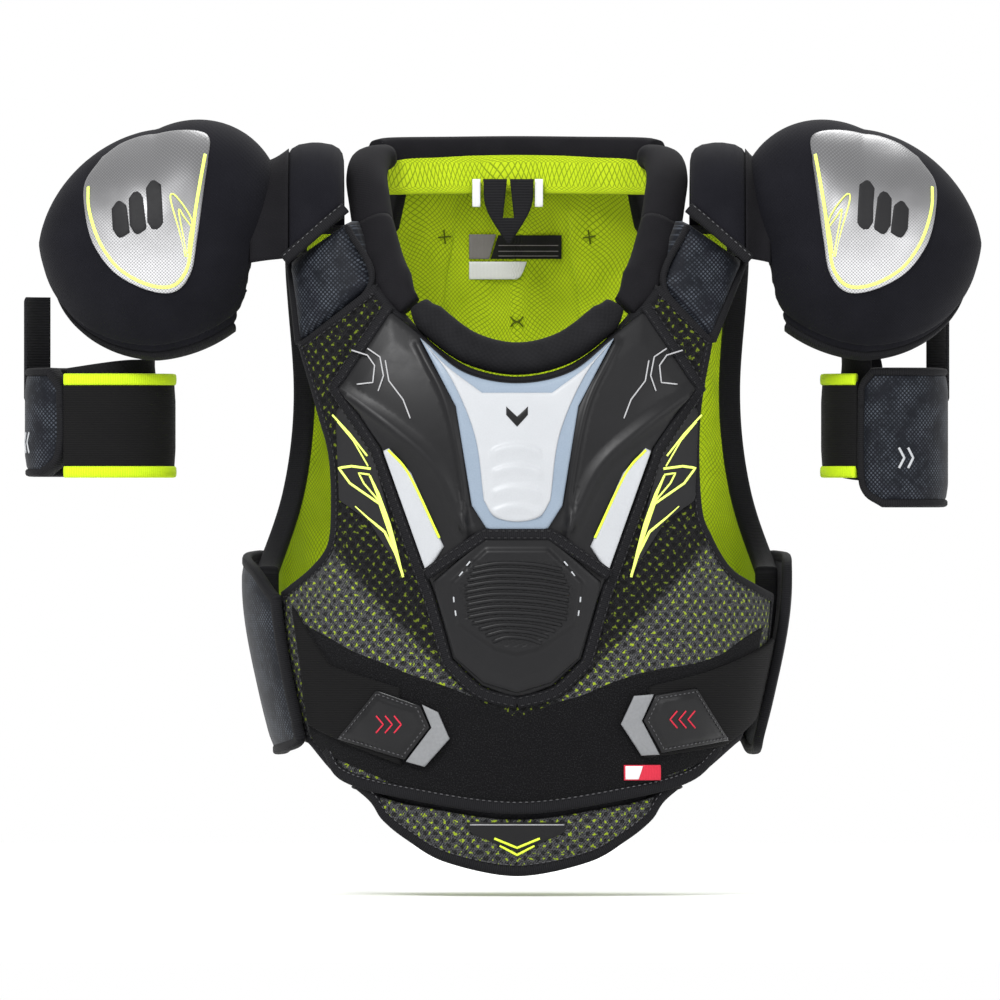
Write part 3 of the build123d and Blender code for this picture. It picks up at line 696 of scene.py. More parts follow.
def lime_lining():
    """Bright lining printed with a grid of fine dark lines that bend like fish scales."""
    material, tree, shader = start_material("lime_lining", 0.65, 0.05, 0.5, 0.15)
    swirl = node(
        tree, "ShaderNodeTexNoise",
        {"Vector": cloth_place(tree, 30.0), "Scale": 1.0, "Detail": 0.0},
    ).outputs["Color"]
    pulled = node(tree, "ShaderNodeVectorMath", {0: swirl, 1: (7.0, 7.0, 0)}, operation="MULTIPLY")
    bent = node(
        tree, "ShaderNodeVectorMath",
        {0: cloth_place(tree, 2.1, math.radians(45)), 1: pulled.outputs[0]}, operation="ADD",
    )
    part = node(tree, "ShaderNodeSeparateXYZ", {0: bent.outputs[0]})
    lines = [
        calc(tree, "ABSOLUTE", calc(tree, "SINE", times(tree, part.outputs[k], math.pi)))
        for k in (0, 1)
    ]
    cell = ramp(tree, calc(tree, "MINIMUM", lines[0], lines[1]), 0.05, 0.5)
    slow = noise(tree, cloth_place(tree, 12.0), 1.0, 2.0)
    bright = blend_colour(tree, slow, (0.36, 0.49, 0.004), (0.50, 0.64, 0.01))
    colour = blend_colour(tree, cell, (0.17, 0.25, 0.003), bright)
    finish_material(tree, shader, colour, plus(tree, cell, slow), 0.5, 0.4)
    return material


def loop_fabric():
    """The looped half of a hook and loop closure: a dull black pile."""
    material, tree, shader = start_material("loop_fabric", 0.95, 0.02, 0.7, 0.02)
    pile = noise(tree, cloth_place(tree, 0.8), 1.0, 3.0, 0.7)
    patch = noise(tree, cloth_place(tree, 9.0), 1.0, 3.0, 0.6)
    tone = times(tree, ramp(tree, pile, 0.45, 0.8), plus(tree, 0.4, patch))
    colour = blend_colour(tree, tone, (0.0035, 0.0035, 0.004), (0.028, 0.028, 0.03))
    finish_material(tree, shader, colour, pile, 1.0, 0.7)
    return material


def moulding(name, dark, light, roughness=0.42, coat=0.05, grain=0.9, bump=0.18, metallic=0.0,
             specular=0.22):
    """Moulded plastic or film: a fine grain, faint clouding and rubbed, smoother patches."""
    material, tree, shader = start_material(
        name, roughness, 0.0, 0.5, specular, coat, 0.25, metallic
    )
    skin = noise(tree, cloth_place(tree, grain), 1.0, 2.0)
    cloud = noise(tree, cloth_place(tree, 25.0), 1.0, 4.0, 0.6)
    wear = noise(tree, cloth_place(tree, 7.0), 1.0, 5.0, 0.7)
    colour = blend_colour(tree, times(tree, plus(tree, cloud, skin), 0.5), dark, light)
    rough = plus(tree, roughness - 0.1, times(tree, wear, 0.22))
    finish_material(tree, shader, colour, skin, bump, 0.12, rough)
    return material


def silver_badge():
    """Silvered mesh film: darker at the top of the cap, bright below, with a fine woven cell."""
    material, tree, shader = start_material("silver_badge", 0.38, 0.0, 0.5, 0.6, 0.1, 0.3, 0.35)
    lattice = dots(tree, cloth_place(tree, 1.35, math.radians(45)))
    lay = node(tree, "ShaderNodeAttribute", attribute_name="lay")
    tall = node(tree, "ShaderNodeSeparateXYZ", {0: lay.outputs["Vector"]}).outputs[1]
    cloud = noise(tree, cloth_place(tree, 14.0), 1.0, 2.0)
    fall = ramp(tree, plus(tree, tall, times(tree, cloud, 14.0)), 48.0, -14.0)
    colour = blend_colour(tree, fall, (0.10, 0.10, 0.103), (0.56, 0.56, 0.57))
    colour = blend_colour(tree, ramp(tree, lattice, 0.36, 0.6), colour, (0.16, 0.16, 0.165))
    finish_material(tree, shader, colour, minus(tree, 1.0, lattice), 0.35, 0.25)
    return material


MATERIALS = {
    "lycra": knit("lycra", (0.003, 0.003, 0.0045), (0.011, 0.011, 0.0145), 1.2, 0.02),
    "collar_knit": knit("collar_knit", (0.004, 0.0039, 0.0048), (0.013, 0.0125, 0.0145), 1.5, 0.02),
    "roll_mesh": knit("roll_mesh", (0.002, 0.002, 0.0025), (0.020, 0.020, 0.022), 2.4, 0.02, 0.85, 0.9),
    "dark_mesh": knit("dark_mesh", (0.004, 0.004, 0.005), (0.038, 0.038, 0.042), 2.1, 0.02, 0.85, 0.8),
    "tape": ribbed("tape", (0.003, 0.003, 0.0035), (0.015, 0.015, 0.017), 1.2),
    "webbing": ribbed("webbing", (0.004, 0.004, 0.005), (0.018, 0.018, 0.02), 1.6, False),
    "elastic": ribbed("elastic", (0.003, 0.003, 0.0032), (0.010, 0.0098, 0.010), 1.3, False, 0.02, 0.85),
    "lime_tape": ribbed("lime_tape", (0.38, 0.56, 0.008), (0.56, 0.76, 0.02), 1.4),
    "foam": knit("foam", (0.02, 0.02, 0.022), (0.06, 0.06, 0.065), 3.0, 0.0),
    "speckled": speckled_mesh(),
    "dotted": dotted_fabric(),
    "lining": lime_lining(),
    "loop": loop_fabric(),
    "plate": moulding("plate", (0.004, 0.004, 0.0045), (0.008, 0.008, 0.009), 0.4, 0.02, specular=0.2),
    "accent": moulding("accent", (0.006, 0.006, 0.007), (0.012, 0.012, 0.013), 0.6, 0.0),
    "tab": moulding("tab", (0.002, 0.002, 0.0025), (0.005, 0.005, 0.006), 0.3, 0.08),
    "silver": moulding("silver", (0.15, 0.195, 0.25), (0.25, 0.30, 0.365), 0.36, 0.15),
    "white": moulding("white", (0.34, 0.352, 0.37), (0.43, 0.443, 0.46), 0.38, 0.12),
    "grey_film": moulding("grey_film", (0.13, 0.135, 0.14), (0.24, 0.245, 0.255), 0.4, 0.1, 1.6, 0.3),
    "fine_line": moulding("fine_line", (0.25, 0.25, 0.26), (0.45, 0.45, 0.46), 0.35, 0.1),
    "lime": moulding("lime", (0.58, 0.78, 0.02), (0.76, 0.95, 0.08), 0.45, 0.05),
    "pale_lime": moulding("pale_lime", (0.72, 0.88, 0.12), (0.82, 0.98, 0.22), 0.45, 0.05),
    "badge": silver_badge(),
    "thread": moulding("thread", (0.010, 0.010, 0.011), (0.03, 0.03, 0.032), 0.7, 0.0),
    "pale_thread": moulding("pale_thread", (0.05, 0.05, 0.053), (0.09, 0.09, 0.095), 0.7, 0.0),
    "dark_thread": moulding("dark_thread", (0.05, 0.07, 0.0), (0.09, 0.12, 0.0), 0.7, 0.0),
    "red": ribbed("red", (0.45, 0.02, 0.04), (0.62, 0.04, 0.07), 1.0),
    "white_cloth": ribbed("white_cloth", (0.62, 0.62, 0.63), (0.8, 0.8, 0.81), 0.9),
    "label_grey": ribbed("label_grey", (0.16, 0.15, 0.15), (0.24, 0.22, 0.22), 0.9),
    "label_black": ribbed("label_black", (0.006, 0.006, 0.006), (0.02, 0.02, 0.02), 0.9),
}


def soft(piece, fill, slot, *nodes):
    """Hide the CAD nodes that a padded piece stands for, and return the piece. Its fill and slot are not
    used.
    """
    return stands(piece, slot, *nodes)


def stands(piece, slot, *nodes):
    if nodes:
        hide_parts(*nodes)
    return piece


# ------------------------------------------------------------------ outlines seen from the front
NECK_LINE = [(-84, -50), (-67, -71), (-50, -87), (-28, -99.5)]
CLAVICLE_OUTER = {"left": (115, -82), "right": (128.5, -84)}
ARMHOLE = {
    "left": [(107.5, -128), (108, -178), (114.5, -198), (125.5, -216), (139, -225), (150, -231)],
    "right": [(117, -125), (110.5, -150), (109, -180), (111, -202), (121, -216), (138, -230)],
}
SIDE_EDGE = {
    "left": [(146.5, -262), (138.5, -295), (130, -317)],
    "right": [(137, -262), (130, -295), (123, -317)],
}
BELLY = [(101, -340), (66, -350), (0, -359), (-66, -350), (-101, -340)]
STERNUM_SIDE = [(34.5, -121), (25.5, -179), (16.7, -193.5)]
PLEXUS = [(18.5, -197), (47.5, -223.5), (45.5, -233), (35, -268.5), (19, -283), (0, -289)]
ACCENT = [(105, -124), (103, -176), (86, -188), (65, -221), (82, -151), (101, -119)]
LANDING_TOP = {
    "left": [(143, -250), (108, -269.5), (72, -277), (31, -291), (0, -303)],
    "right": [(129, -246), (103, -259), (68, -275), (33, -288), (0, -303)],
}
LANDING_FOOT = [(101, -332), (62, -345), (30, -350.5), (0, -352.5), (-30, -350.5), (-62, -345), (-95, -332)]
EXTENSION = [(99, -343), (86, -353), (79, -363.5), (65, -375), (42, -388), (0, -396)]
STRAP = {
    "left": [(108, -277), (76, -285), (72, -327), (118, -320)],
    "right": [(107, -273), (67, -286), (66, -331), (119, -308)],
}
STRAP_ROOT_HEIGHTS = {"left": (-257, -304), "right": (-238, -282)}
TAB = {
    "left": [(101, -286), (119, -317), (81, -324), (71, -305), (78, -290)],
    "right": [(79, -287), (54.5, -296), (49, -309), (63, -328), (101, -316)],
}
CHEVRON = {
    "left": [(66, -290.5), (58.5, -307), (70, -325.5), (80, -325), (70.2, -305), (77, -289.5)],
    "right": [(53.5, -295.5), (44.5, -300), (38, -315.5), (52, -332), (62.5, -329), (48.2, -309)],
}

# heights over the body form: underside and thickness, or the underside of what lies on a cover
FOAM_LAYER = (2.2, 7.4)
COVER_LAYER = (10.0, 1.5)
LINING_LAYER = (-2.0, 1.9)  # as seen from within
EDGING_MIDDLE = 5.9
ON_COVER = 11.9

chest_edge = on_front(closed(
    [CLAVICLE_OUTER["left"]], ARMHOLE["left"], SIDE_EDGE["left"],
    BELLY + [(-123, -317)],
    mirror_run(SIDE_EDGE["right"][:-1]) + [(-138, -230)],
    mirror_run(ARMHOLE["right"][:-1]) + [(-128.5, -84)],
    NECK_LINE[:1], NECK_LINE[1:] + [(0, -104.5)] + mirror_run(NECK_LINE),
))


# ------------------------------------------------------------------ front: vest panel
def build_front_vest():
    """The chest's foam, mesh cover and lining."""
    chest_foam = panel(
        "chest_foam_pad", shrink(chest_edge, 5), front, *FOAM_LAYER, "foam", "front", 7.0, 4.0)
    soft(chest_foam, 0.8, "foam", "chest_foam")
    seams = []
    for sign in SIDES.values():
        below_plate = for_side([(101, -212), (77, -237), (51, -267), (27, -287)], sign)
        by_clavicle = for_side([(96, -52), (97, -80), (107, -112)], sign)
        seams += [Seam(on_front(below_plate), 1.1, 1.6), Seam(on_front(by_clavicle), 1.0, 1.2)]

    def puff(u, z, inset):
        mesh_zone = np.clip((-150 - z) / 60, 0, 1)
        return 1.3 * mesh_zone * np.minimum(inset / 14, 1) + 0.25 * np.sin(u / 9) * np.sin(z / 11)

    cover = panel(
        "chest_cover_mesh", shrink(chest_edge, 2.2), front, *COVER_LAYER, "speckled", "front",
        2.4, 3.0, seams, puff)
    soft(cover, 0.6, "speckled_mesh", "chest_cover")

    def quilt(u, z, inset):
        return 0.5 * np.sin(u / 7 + 1.5 * np.sin(z / 23)) * np.minimum(inset / 10, 1)

    lining_seams = [Seam([(x, -120), (x * 1.05, -330)], 1.0, 1.2) for x in (-60, 0, 60)]
    lining = panel(
        "chest_lining", shrink(chest_edge, 2.2), inside_out(front), *LINING_LAYER, "lining",
        "front", 3.6, 3.0, lining_seams, quilt)
    soft(lining, 0.4, "lime_lining", "chest_liner")


def build_front_edging():
    """The tape round the chest and the stitched band along the belly."""
    path, up = laid(shrink(chest_edge, 2.4), front, EDGING_MIDDLE)
    edging = sweep("chest_edging", path, up, 3.4, 6.9, "tape", "front", True, 16, 3.4)
    stands(edging, "black_tape", "chest_binding")
    ring = shrink(chest_edge, 4.9)
    stands(stitches("chest_edging_stitches", np.vstack([ring, ring[:1]]), front, 12.5,
                    "thread", "front", 2.2, 1.6, 0.38), "black_tape")
    belly = on_front(smooth_run([(118, -324), *BELLY, (-112, -324)], 3))
    stands(tape("belly_tape", parallel(belly, -3.2), front, 12.9, 7.6, 2.2, "tape", "front"),
           "black_tape")
    stands(stitches("belly_stitches", parallel(belly, -6.2), front, 13.9, "pale_thread",
                    "front", 2.0, 1.6, 0.3), "black_tape")


def build_plate():
    """The moulded chest plate with its tape, lines, white chips and accent panels."""
    plate_edge = on_front(closed(
        [(102.5, -110)], [(78.5, -145)], [(51.5, -221), (47, -233)], [(37, -269)], [(20, -285)],
        [(0, -291), (-20, -285)], [(-37, -269)], [(-47, -233), (-51.5, -221)], [(-78.5, -145)],
        [(-102.5, -110)], [(-73, -65)],
        [(-54, -80), (-30, -99.5), (0, -106), (30, -99.5), (54, -80), (73, -65)],
        step=2.2))
    creases = []
    for sign in SIDES.values():
        ridge = for_side([(101, -111), (69, -135), (46, -158), (30, -192)], sign)
        inner_ridge = for_side([(56, -84), (39.5, -120), (31, -165), (29, -196)], sign)
        creases += [Seam(on_front(ridge), 3.6, -3.6), Seam(on_front(inner_ridge), 1.8, -2.0)]

    def lobes(u, z, inset):
        lower = np.clip((-140 - z) / 30, 0, 1)
        return 1.6 * np.minimum(inset / 12, 1) - 0.9 * lower * np.minimum(inset / 10, 1)

    plate = panel("chest_plate_moulding", plate_edge, front, ON_COVER, 3.0, "plate", "front",
                  2.0, 2.4, creases, lobes)
    stands(plate, "black_moulding", "chest_plate")

    for side_name, sign in SIDES.items():
        stretch = on_front(np.array((sign, 1)) * cornered(
            (74, -62), [(105.5, -110)], [(81.5, -147)], [(54.6, -222), (50.4, -234), (40, -271)],
            [(22, -288), (0, -294.5)]))
        stands(tape(f"plate_tape_{side_name}", stretch, front, 13.4, 7.4, 3.2, "tape", "front"),
               "black_tape")
        for k, shift in enumerate((-2.2, 2.2)):
            stands(stitches(f"plate_stitches_{side_name}_{k}", parallel(stretch, shift), front, 15.2,
                            "thread", "front", 2.2, 1.7, 0.34), "black_tape")
        build_plate_lines(side_name, sign)
        build_chip(side_name, sign)
        build_accent(side_name, sign)


def build_plexus_hem():
    """The stitched tape between the plate and the plexus pad."""
    hem_line = pointed(on_front([(51.5, -219.5), (18.5, -196), (-18.5, -196), (-51.5, -219.5)]), 2)
    stands(tape("plexus_tape", hem_line, front, 17.6, 7.0, 3.4, "tape", "front"), "black_tape")
    for k, shift in enumerate((-2.0, 2.0)):
        stands(stitches(f"plexus_stitches_{k}", parallel(hem_line, shift), front, 19.4,
                        "thread", "front", 2.2, 1.6, 0.34), "black_tape")


def build_sternum():
    """The silvered rim on the breastbone, its white centre and a generic mark."""
    rim_edge = on_front(closed(
        *[[corner] for corner in STERNUM_SIDE + mirror_run(STERNUM_SIDE)], [(-54.5, -81)],
        [(-30, -101), (0, -107.5), (30, -101), (54.5, -81)], step=1.8))
    rim = panel("sternum_rim", rim_edge, front, 15.9, 2.6, "silver", "front", 1.8, 2.2)
    stands(rim, "silver_moulding", "sternum_insert")
    centre_edge = on_front(closed(
        [(37, -104), (23.5, -138), (18.5, -176)],
        [(12.5, -185.5), (0, -188.5), (-12.5, -185.5), (-18.5, -176)],
        [(-23.5, -138), (-37, -104), (-53, -82)], [(-39.5, -97), (-19.5, -113)], [(19.5, -113)],
        [(39.5, -97), (53, -82)], step=1.6))

    def ridges(u, z, inset):
        lift = np.zeros_like(u)
        for k, top in enumerate((-144, -156, -168, -179)):
            arch = z - (top - 0.020 * u * u)
            breadth = np.where(arch > 0, 1.3, 4.5)
            lift += (1.7 - 0.2 * k) * np.exp(-((arch / breadth) ** 2))
        return lift * np.clip((15 - np.abs(u)) / 3, 0, 1)

    centre = panel("sternum_centre", centre_edge, front, 18.1, 1.5, "white", "front",
                   1.3, 1.5, (), ridges)
    stands(centre, "white_moulding")
    mark = on_front(straight([(-6, -121), (0, -127), (6, -121), (6, -126), (0, -133), (-6, -126)], 1.0))
    stands(panel("sternum_mark", mark, front, 19.5, 0.5, "tab", "front", 1.4, 0.5),
           "black_moulding")


def build_plexus():
    """The pad below the breastbone: a raised hexagon round a ribbed field."""
    plexus_edge = on_front(straight(PLEXUS + mirror_run(PLEXUS[:-1]), 2.0))
    half_hexagon = [(17, -205), (36, -224), (33, -248), (12, -263)]
    hexagon = straight(on_front(half_hexagon + [(0, -266)] + mirror_run(half_hexagon)), 2.0)
    half_ribs = [(26, -211), (32, -226), (30, -244), (8, -262)]
    ribs_edge = straight(half_ribs + mirror_run(half_ribs), 2.0)

    def ribs(u, z, inset):
        points = np.stack([u, z], axis=-1)
        gap = distance_to(hexagon, points) * np.where(is_inside(hexagon, points), 1, -1)
        raised = 1.8 * np.clip(gap / 2.5 + 0.5, 0, 1)
        inner = np.clip(distance_to(ribs_edge, points) / 1.2, 0, 1) * is_inside(ribs_edge, points)
        wave = np.sin((z + 0.22 * u + 2.0 * np.sin(u / 16)) * 2 * np.pi / 3.3)
        return raised + inner * (1.3 * np.abs(wave) - 1.2) + 0.8 * np.minimum(inset / 8, 1) - 0.8

    pad = panel("plexus_moulding", plexus_edge, front, 16.0, 2.8, "plate", "front", 1.1, 2.0, (), ribs)
    stands(pad, "black_moulding", "plexus_pad")


def build_plexus_ribs():
    """The grille of wavy ribs on the plexus pad, and the short dashes round it."""
    bars = []
    for k in range(13):
        z = -214 - 3.6 * k
        reach = np.interp(-z, (211, 226, 244, 262), (25, 30.5, 28.5, 10)) - 1.5
        rib = smooth_run([(-reach, z - 1.5), (-reach * 0.4, z + 1.2), (reach * 0.4, z + 0.4),
                          (reach, z - 2.5)], 2.0)
        bars.append(tape(f"rib_{k}", on_front(rib), front, 20.5, 2.3, 1.6, "plate", None, sides=8,
                         squareness=2.2))
    merge("plexus_ribs", bars, "front", "black_moulding")
    places = [
        (-27, -213, 0.9), (-31, -219, 0.95), (-34, -226, 1.3), (27, -213, -0.9), (31, -219, -0.95),
        (34, -226, -1.3), (35, -234, 1.5), (34, -242, 1.45), (-35, -234, -1.5), (-34, -242, -1.45),
    ]
    dashes = []
    for k, (x, z, tilt) in enumerate(places):
        c, q = 1.6 * math.cos(tilt), 1.6 * math.sin(tilt)
        dash = on_front(smooth_run([(x - c, z - q), (x + c, z + q)], 1.0))
        dashes.append(tape(f"dash_{k}", dash, front, 19.7, 1.0, 0.7, "white", None, sides=6))
    merge("plexus_dashes", dashes, "front", "white_moulding")


def build_plate_lines(side_name, sign):
    """Thin silvered chevrons pressed into the upper lobes of the plate."""
    drawn = [
        [(93, -88), (84, -91), (80, -97), (81, -107), (90, -108)],
        [(84, -87), (77, -92), (75, -103), (78, -112)],
        [(74, -94), (72, -106), (64, -117), (60, -128)],
    ]
    lines = []
    for k, points in enumerate(drawn):
        lines.append(tape(f"line_{side_name}_{k}", on_front(pointed(for_side(points, sign))), front,
                          17.0, 0.9, 0.7, "fine_line", None, sides=6))
    merge(f"plate_lines_{side_name}", lines, "front", "silver_moulding")


def build_chip(side_name, sign):
    """White insert between the plate and the accent panel, with a lime line."""
    corners = for_side([(75.5, -147), (72.5, -145.5), (60, -160), (41.5, -203), (51, -219)], sign)
    edge = on_front(straight(corners, 1.6))
    chip = panel(f"chip_{side_name}", edge, front, 15.6, 2.3, "white", "front", 2.0, 1.4)
    stands(chip, "white_moulding", f"accent_chip_{side_name}")
    line = on_front(smooth_run(for_side([(72, -146.5), (60.6, -160.5), (43.5, -198)], sign), 1.5))
    stands(tape(f"chip_line_{side_name}", line, front, 17.9, 1.5, 0.6, "lime", "front", sides=6),
           "lime_lining")


def build_accent(side_name, sign):
    """Matte panel beside the plate with tapering lime lines."""
    edge = on_front(straight(for_side(ACCENT, sign), 2.0))
    accent = panel(f"accent_{side_name}", edge, front, ON_COVER, 1.8, "accent", "front", 2.6, 1.4)
    stands(accent, "black_mesh", f"accent_panel_{side_name}")
    drawn = [
        ([(106, -126), (96, -137), (86, -150)], 1.2, False),
        ([(103, -130), (94, -141), (85.5, -156)], 0.9, False),
        ([(84, -157.5), (95, -156), (102.5, -157), (96, -166), (79, -178), (72, -199), (65.5, -220)],
         1.5, False),
        ([(84.5, -161), (91, -160), (88, -166), (78, -178), (71, -199), (65.5, -220)], 1.1, False),
        ([(84.6, -161.5), (80, -172), (74, -190), (65.5, -221)], 3.4, True),
        ([(93, -179.5), (86, -186), (76, -194.5), (70, -207), (65.5, -220)], 1.7, True),
    ]
    lines = []
    for k, (points, width, tapered) in enumerate(drawn):
        line = on_front(pointed(for_side(points, sign)))
        share = np.linspace(0, 1, len(line))
        taper = 0.35 + 0.65 * np.sin(np.pi * np.clip(share, 0.05, 0.95)) if tapered else None
        lines.append(tape(f"lime_{side_name}_{k}", line, front, 13.9, width, 0.9, "pale_lime", None,
                          taper=taper, sides=8))
    merge(f"accent_lines_{side_name}", lines, "front", "lime_lining")


def build_landing():
    """The wide black band of loop fabric across the belly."""
    left, right = LANDING_TOP["left"], for_side(LANDING_TOP["right"], -1)
    edge = on_front(closed(
        [(130, -303), (118, -322)], LANDING_FOOT, [(-114, -322), (-122, -303), right[0]],
        right[1:], list(reversed(left))[1:]))

    def pile(u, z, inset):
        return 0.5 * np.minimum(inset / 5, 1) + 0.3 * np.sin(u / 17 + z / 30)

    landing = panel("loop_landing_pile", edge, front, ON_COVER, 1.3, "loop", "front", 3.0, 1.6, (), pile)
    stands(landing, "loop_fabric", "loop_landing")
    tab = on_front(straight([(61, -340), (82, -340), (82, -331), (61, -331)], 1.5))
    stands(panel("size_tab_red", tab, front, 14.2, 0.8, "red", "front", 2.0, 0.6),
           "red_tab", "size_tab")
    white = on_front(straight([(61.6, -339.4), (69, -339.4), (71.5, -331.6), (61.6, -331.6)], 1.5))
    stands(panel("size_tab_white", white, front, 15.0, 0.35, "white_cloth", "front", 2.0, 0.4),
           "printed_label")


def build_neck_roll():
    """The mesh roll along the front of the neck."""
    path = smooth_run([(-57, -80.5, -62), (-51, -84, -69.5), (-28, -91.5, -86.5), (0, -94, -93),
                       (28, -91.5, -86.5), (51, -84, -69.5), (57, -80.5, -62)], 2.5)
    out = np.stack([path[:, 0] * 0.2, -90 + 0 * path[:, 0], 60 + 0 * path[:, 0]], axis=-1)
    share = np.abs(np.linspace(-1, 1, len(path)))
    taper = 1 - 0.35 * np.clip((share - 0.85) / 0.15, 0, 1)
    roll = sweep("neck_roll_mesh", path, out, 9.6, 8.8, "roll_mesh", "front", False, 26, 2.2, taper)
    soft(roll, 0.8, "black_mesh", "neck_roll")


def build_extension():
    """The belly pad that folds out, with its binding and the web at its fold."""
    edge = on_front(closed(
        [EXTENSION[1]], EXTENSION[2:], mirror_run(EXTENSION[1:-1]), mirror_run(EXTENSION[:1]),
        [(-66, -352.5)], [(0, -361.5), (66, -352.5)], [EXTENSION[0]]))
    foam = panel("extension_foam_pad", shrink(edge, 4), front, 2.4, 6.6, "foam", "extension", 6.0, 3.0)
    soft(foam, 0.8, "foam", "extension_foam")
    cover = panel("extension_mesh", shrink(edge, 1.5), front, 9.4, 2.0, "speckled", "extension",
                  2.2, 3.0, (), puffed(1.4, 12))
    soft(cover, 0.7, "speckled_mesh", "extension_cover")
    rim = [(97, -343.5), *EXTENSION[1:], *mirror_run(EXTENSION[1:-1]), (-97, -343.5)]
    line = parallel(on_front(smooth_run(rim, 2.5)), -3.6)
    path, up = laid(line, front, 6.6)
    stands(sweep("extension_edging", path, up, 3.9, 6.4, "tape", "extension", False, 16, 3.4),
           "black_tape")
    stands(stitches("extension_stitches", parallel(line, -2.8), front, 12.9, "pale_thread",
                    "extension", 2.0, 1.6, 0.3), "black_tape")
    fold = on_front(closed([(90, -341)], [(60, -347), (0, -355), (-60, -347), (-90, -341)],
                           [(-84, -353)], [(-60, -357), (0, -367), (60, -357), (84, -353)], step=3))
    hinge = panel("extension_fold_web", fold, front, 2.2, 1.6, "dark_mesh", None, 3.0, 1.0)
    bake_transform(hinge)
    soft(hinge, 0.3, "black_mesh")


def build_extension_badge():
    """The moulded label on the belly extension, with a line and two chevrons."""
    label = on_front(straight([(-29, -364.5), (29, -364.5), (27, -371), (0, -382), (-27, -371)], 2.0))
    stands(panel("extension_badge", label, front, 12.3, 1.3, "tab", "extension", 2.4, 0.9),
           "black_moulding", "extension_label")
    frame_line = on_front(smooth_run([(-27, -366), (27, -366)], 2))
    lines = [tape("badge_line", frame_line, front, 13.7, 0.6, 0.5, "fine_line", None, sides=6)]
    merge("extension_badge_line", lines, "extension", "silver_moulding")
    marks = []
    for k, drop in enumerate((0, -4.2)):
        reach = 13 - 3 * k
        chevron = on_front([(-reach, -374 + drop), (0, -379.5 + drop), (reach, -374 + drop)])
        marks.append(tape(f"chevron_{k}", pointed(chevron), front, 13.8 - 0.9 * k, 1.4, 1.0, "lime",
                          None, sides=6))
    merge("extension_chevrons", marks, "extension", "lime_lining")


# ------------------------------------------------------------------ back
def from_side(points):
    """(y, z) points seen from the side, as (u, z) on the back's cloth."""
    y, z = np.asarray(points, float).T
    return np.stack([half_girth(z) - arc_at(turn_from_y(y, z), z), z], axis=-1)


def from_back(points):
    """(x, z) points of the back panel as (u, z) from its middle."""
    x, z = np.asarray(points, float).T
    return np.stack([np.sign(x) * (half_girth(z) - arc_at(np.pi - turn_from_x(x, z), z)), z], axis=-1)


def back_edge():
    """Half of the back panel's outline, mirrored: neck, shoulder, armhole, side and hem."""
    top = from_back(smooth_run([(0.01, 14), (74, 14)], 3))
    notch = from_back(smooth_run([(74, 14), (80, -14)], 3))
    shoulder = smooth_run([notch[-1], from_side([(1, -14)])[0]], 3)
    turn = np.linspace(0.02, 3.12, 60)
    hole = from_side(np.stack([62 * np.sin(turn), -122 + 94 * np.cos(turn)], axis=-1))
    flank = from_side(smooth_run([(1, -219), (1, -300)], 3))
    hem = from_back(smooth_run([(139, -305), (126, -318), (90, -324), (0.01, -324)], 3))
    half = np.vstack([top[:-1], notch[:-1], shoulder[:-1], hole, flank, hem])
    return np.vstack([half, (half * (-1, 1))[::-1][1:-1]])


def build_back():
    """The back's foam, mesh cover, lining and edge tape."""
    edge = back_edge()
    foam = panel("back_foam_pad", shrink(edge, 5), back, *FOAM_LAYER, "foam", "back", 7.0, 4.0)
    soft(foam, 0.8, "foam", "back_foam")
    seams = [Seam([(s * 62, -20), (s * 66, -120), (s * 52, -315)], 1.2, 1.6) for s in (-1, 1)]
    seams += [Seam([(s * 66, -150), (s * 110, -235)], 1.2, 1.4) for s in (-1, 1)]
    cover = panel("back_cover_mesh", shrink(edge, 2.2), back, *COVER_LAYER, "dark_mesh", "back",
                  3.0, 3.0, seams, puffed(1.0, 14))
    soft(cover, 0.6, "black_mesh", "back_cover")

    def quilt(u, z, inset):
        waves = 0.9 * np.sin(u / 9 + 1.8 * np.sin(z / 17)) * np.sin(z / 13 + 0.8 * np.sin(u / 21))
        return waves * np.minimum(inset / 8, 1)

    lining_seams = [
        Seam([(-38, 10), (-40, -20), (-46, -62), (-40, -120), (-40, -318)], 0.9, 1.4),
        Seam([(32, 10), (34, -30), (40, -62), (40, -120), (40, -318)], 0.9, 1.4),
        Seam([(-100, -30), (-92, -150), (-98, -300)], 0.9, 1.2),
        Seam([(100, -30), (92, -150), (98, -300)], 0.9, 1.2),
    ]
    lining = panel("back_lining", shrink(edge, 2.2), inside_out(back), *LINING_LAYER, "lining",
                   "back", 2.8, 3.0, lining_seams, quilt)
    soft(lining, 0.4, "lime_lining", "back_liner")

    path, up = laid(shrink(edge, 2.4), back, EDGING_MIDDLE)
    edging = sweep("back_edging", path, up, 3.4, 6.6, "tape", "back", True, 16, 3.4)
    stands(edging, "black_tape", "back_binding")
    ring = shrink(edge, 4.9)
    stands(stitches("back_edging_stitches", np.vstack([ring, ring[:1]]), back, 12.3, "thread",
                    "back", 2.4, 1.8, 0.38), "black_tape")


def build_lining_ties():
    """Crossed stitches that hold the lining to the foam."""
    crosses = []
    for k, (x, z, tilt) in enumerate(((-47, -20, 0.1), (47, -20, 0.15), (0, -70, 0.78))):
        for j in range(2):
            turn = tilt + j * math.pi / 2
            c, s = 4.2 * math.cos(turn), 4.2 * math.sin(turn)
            crosses.append(tape(f"cross_{k}_{j}", smooth_run([(x - c, z - s), (x + c, z + s)], 1.2),
                                inside_out(back), 1.0, 0.9, 0.8, "dark_thread", None, sides=6))
    merge("lining_cross_stitches", crosses, "back", "lime_lining")


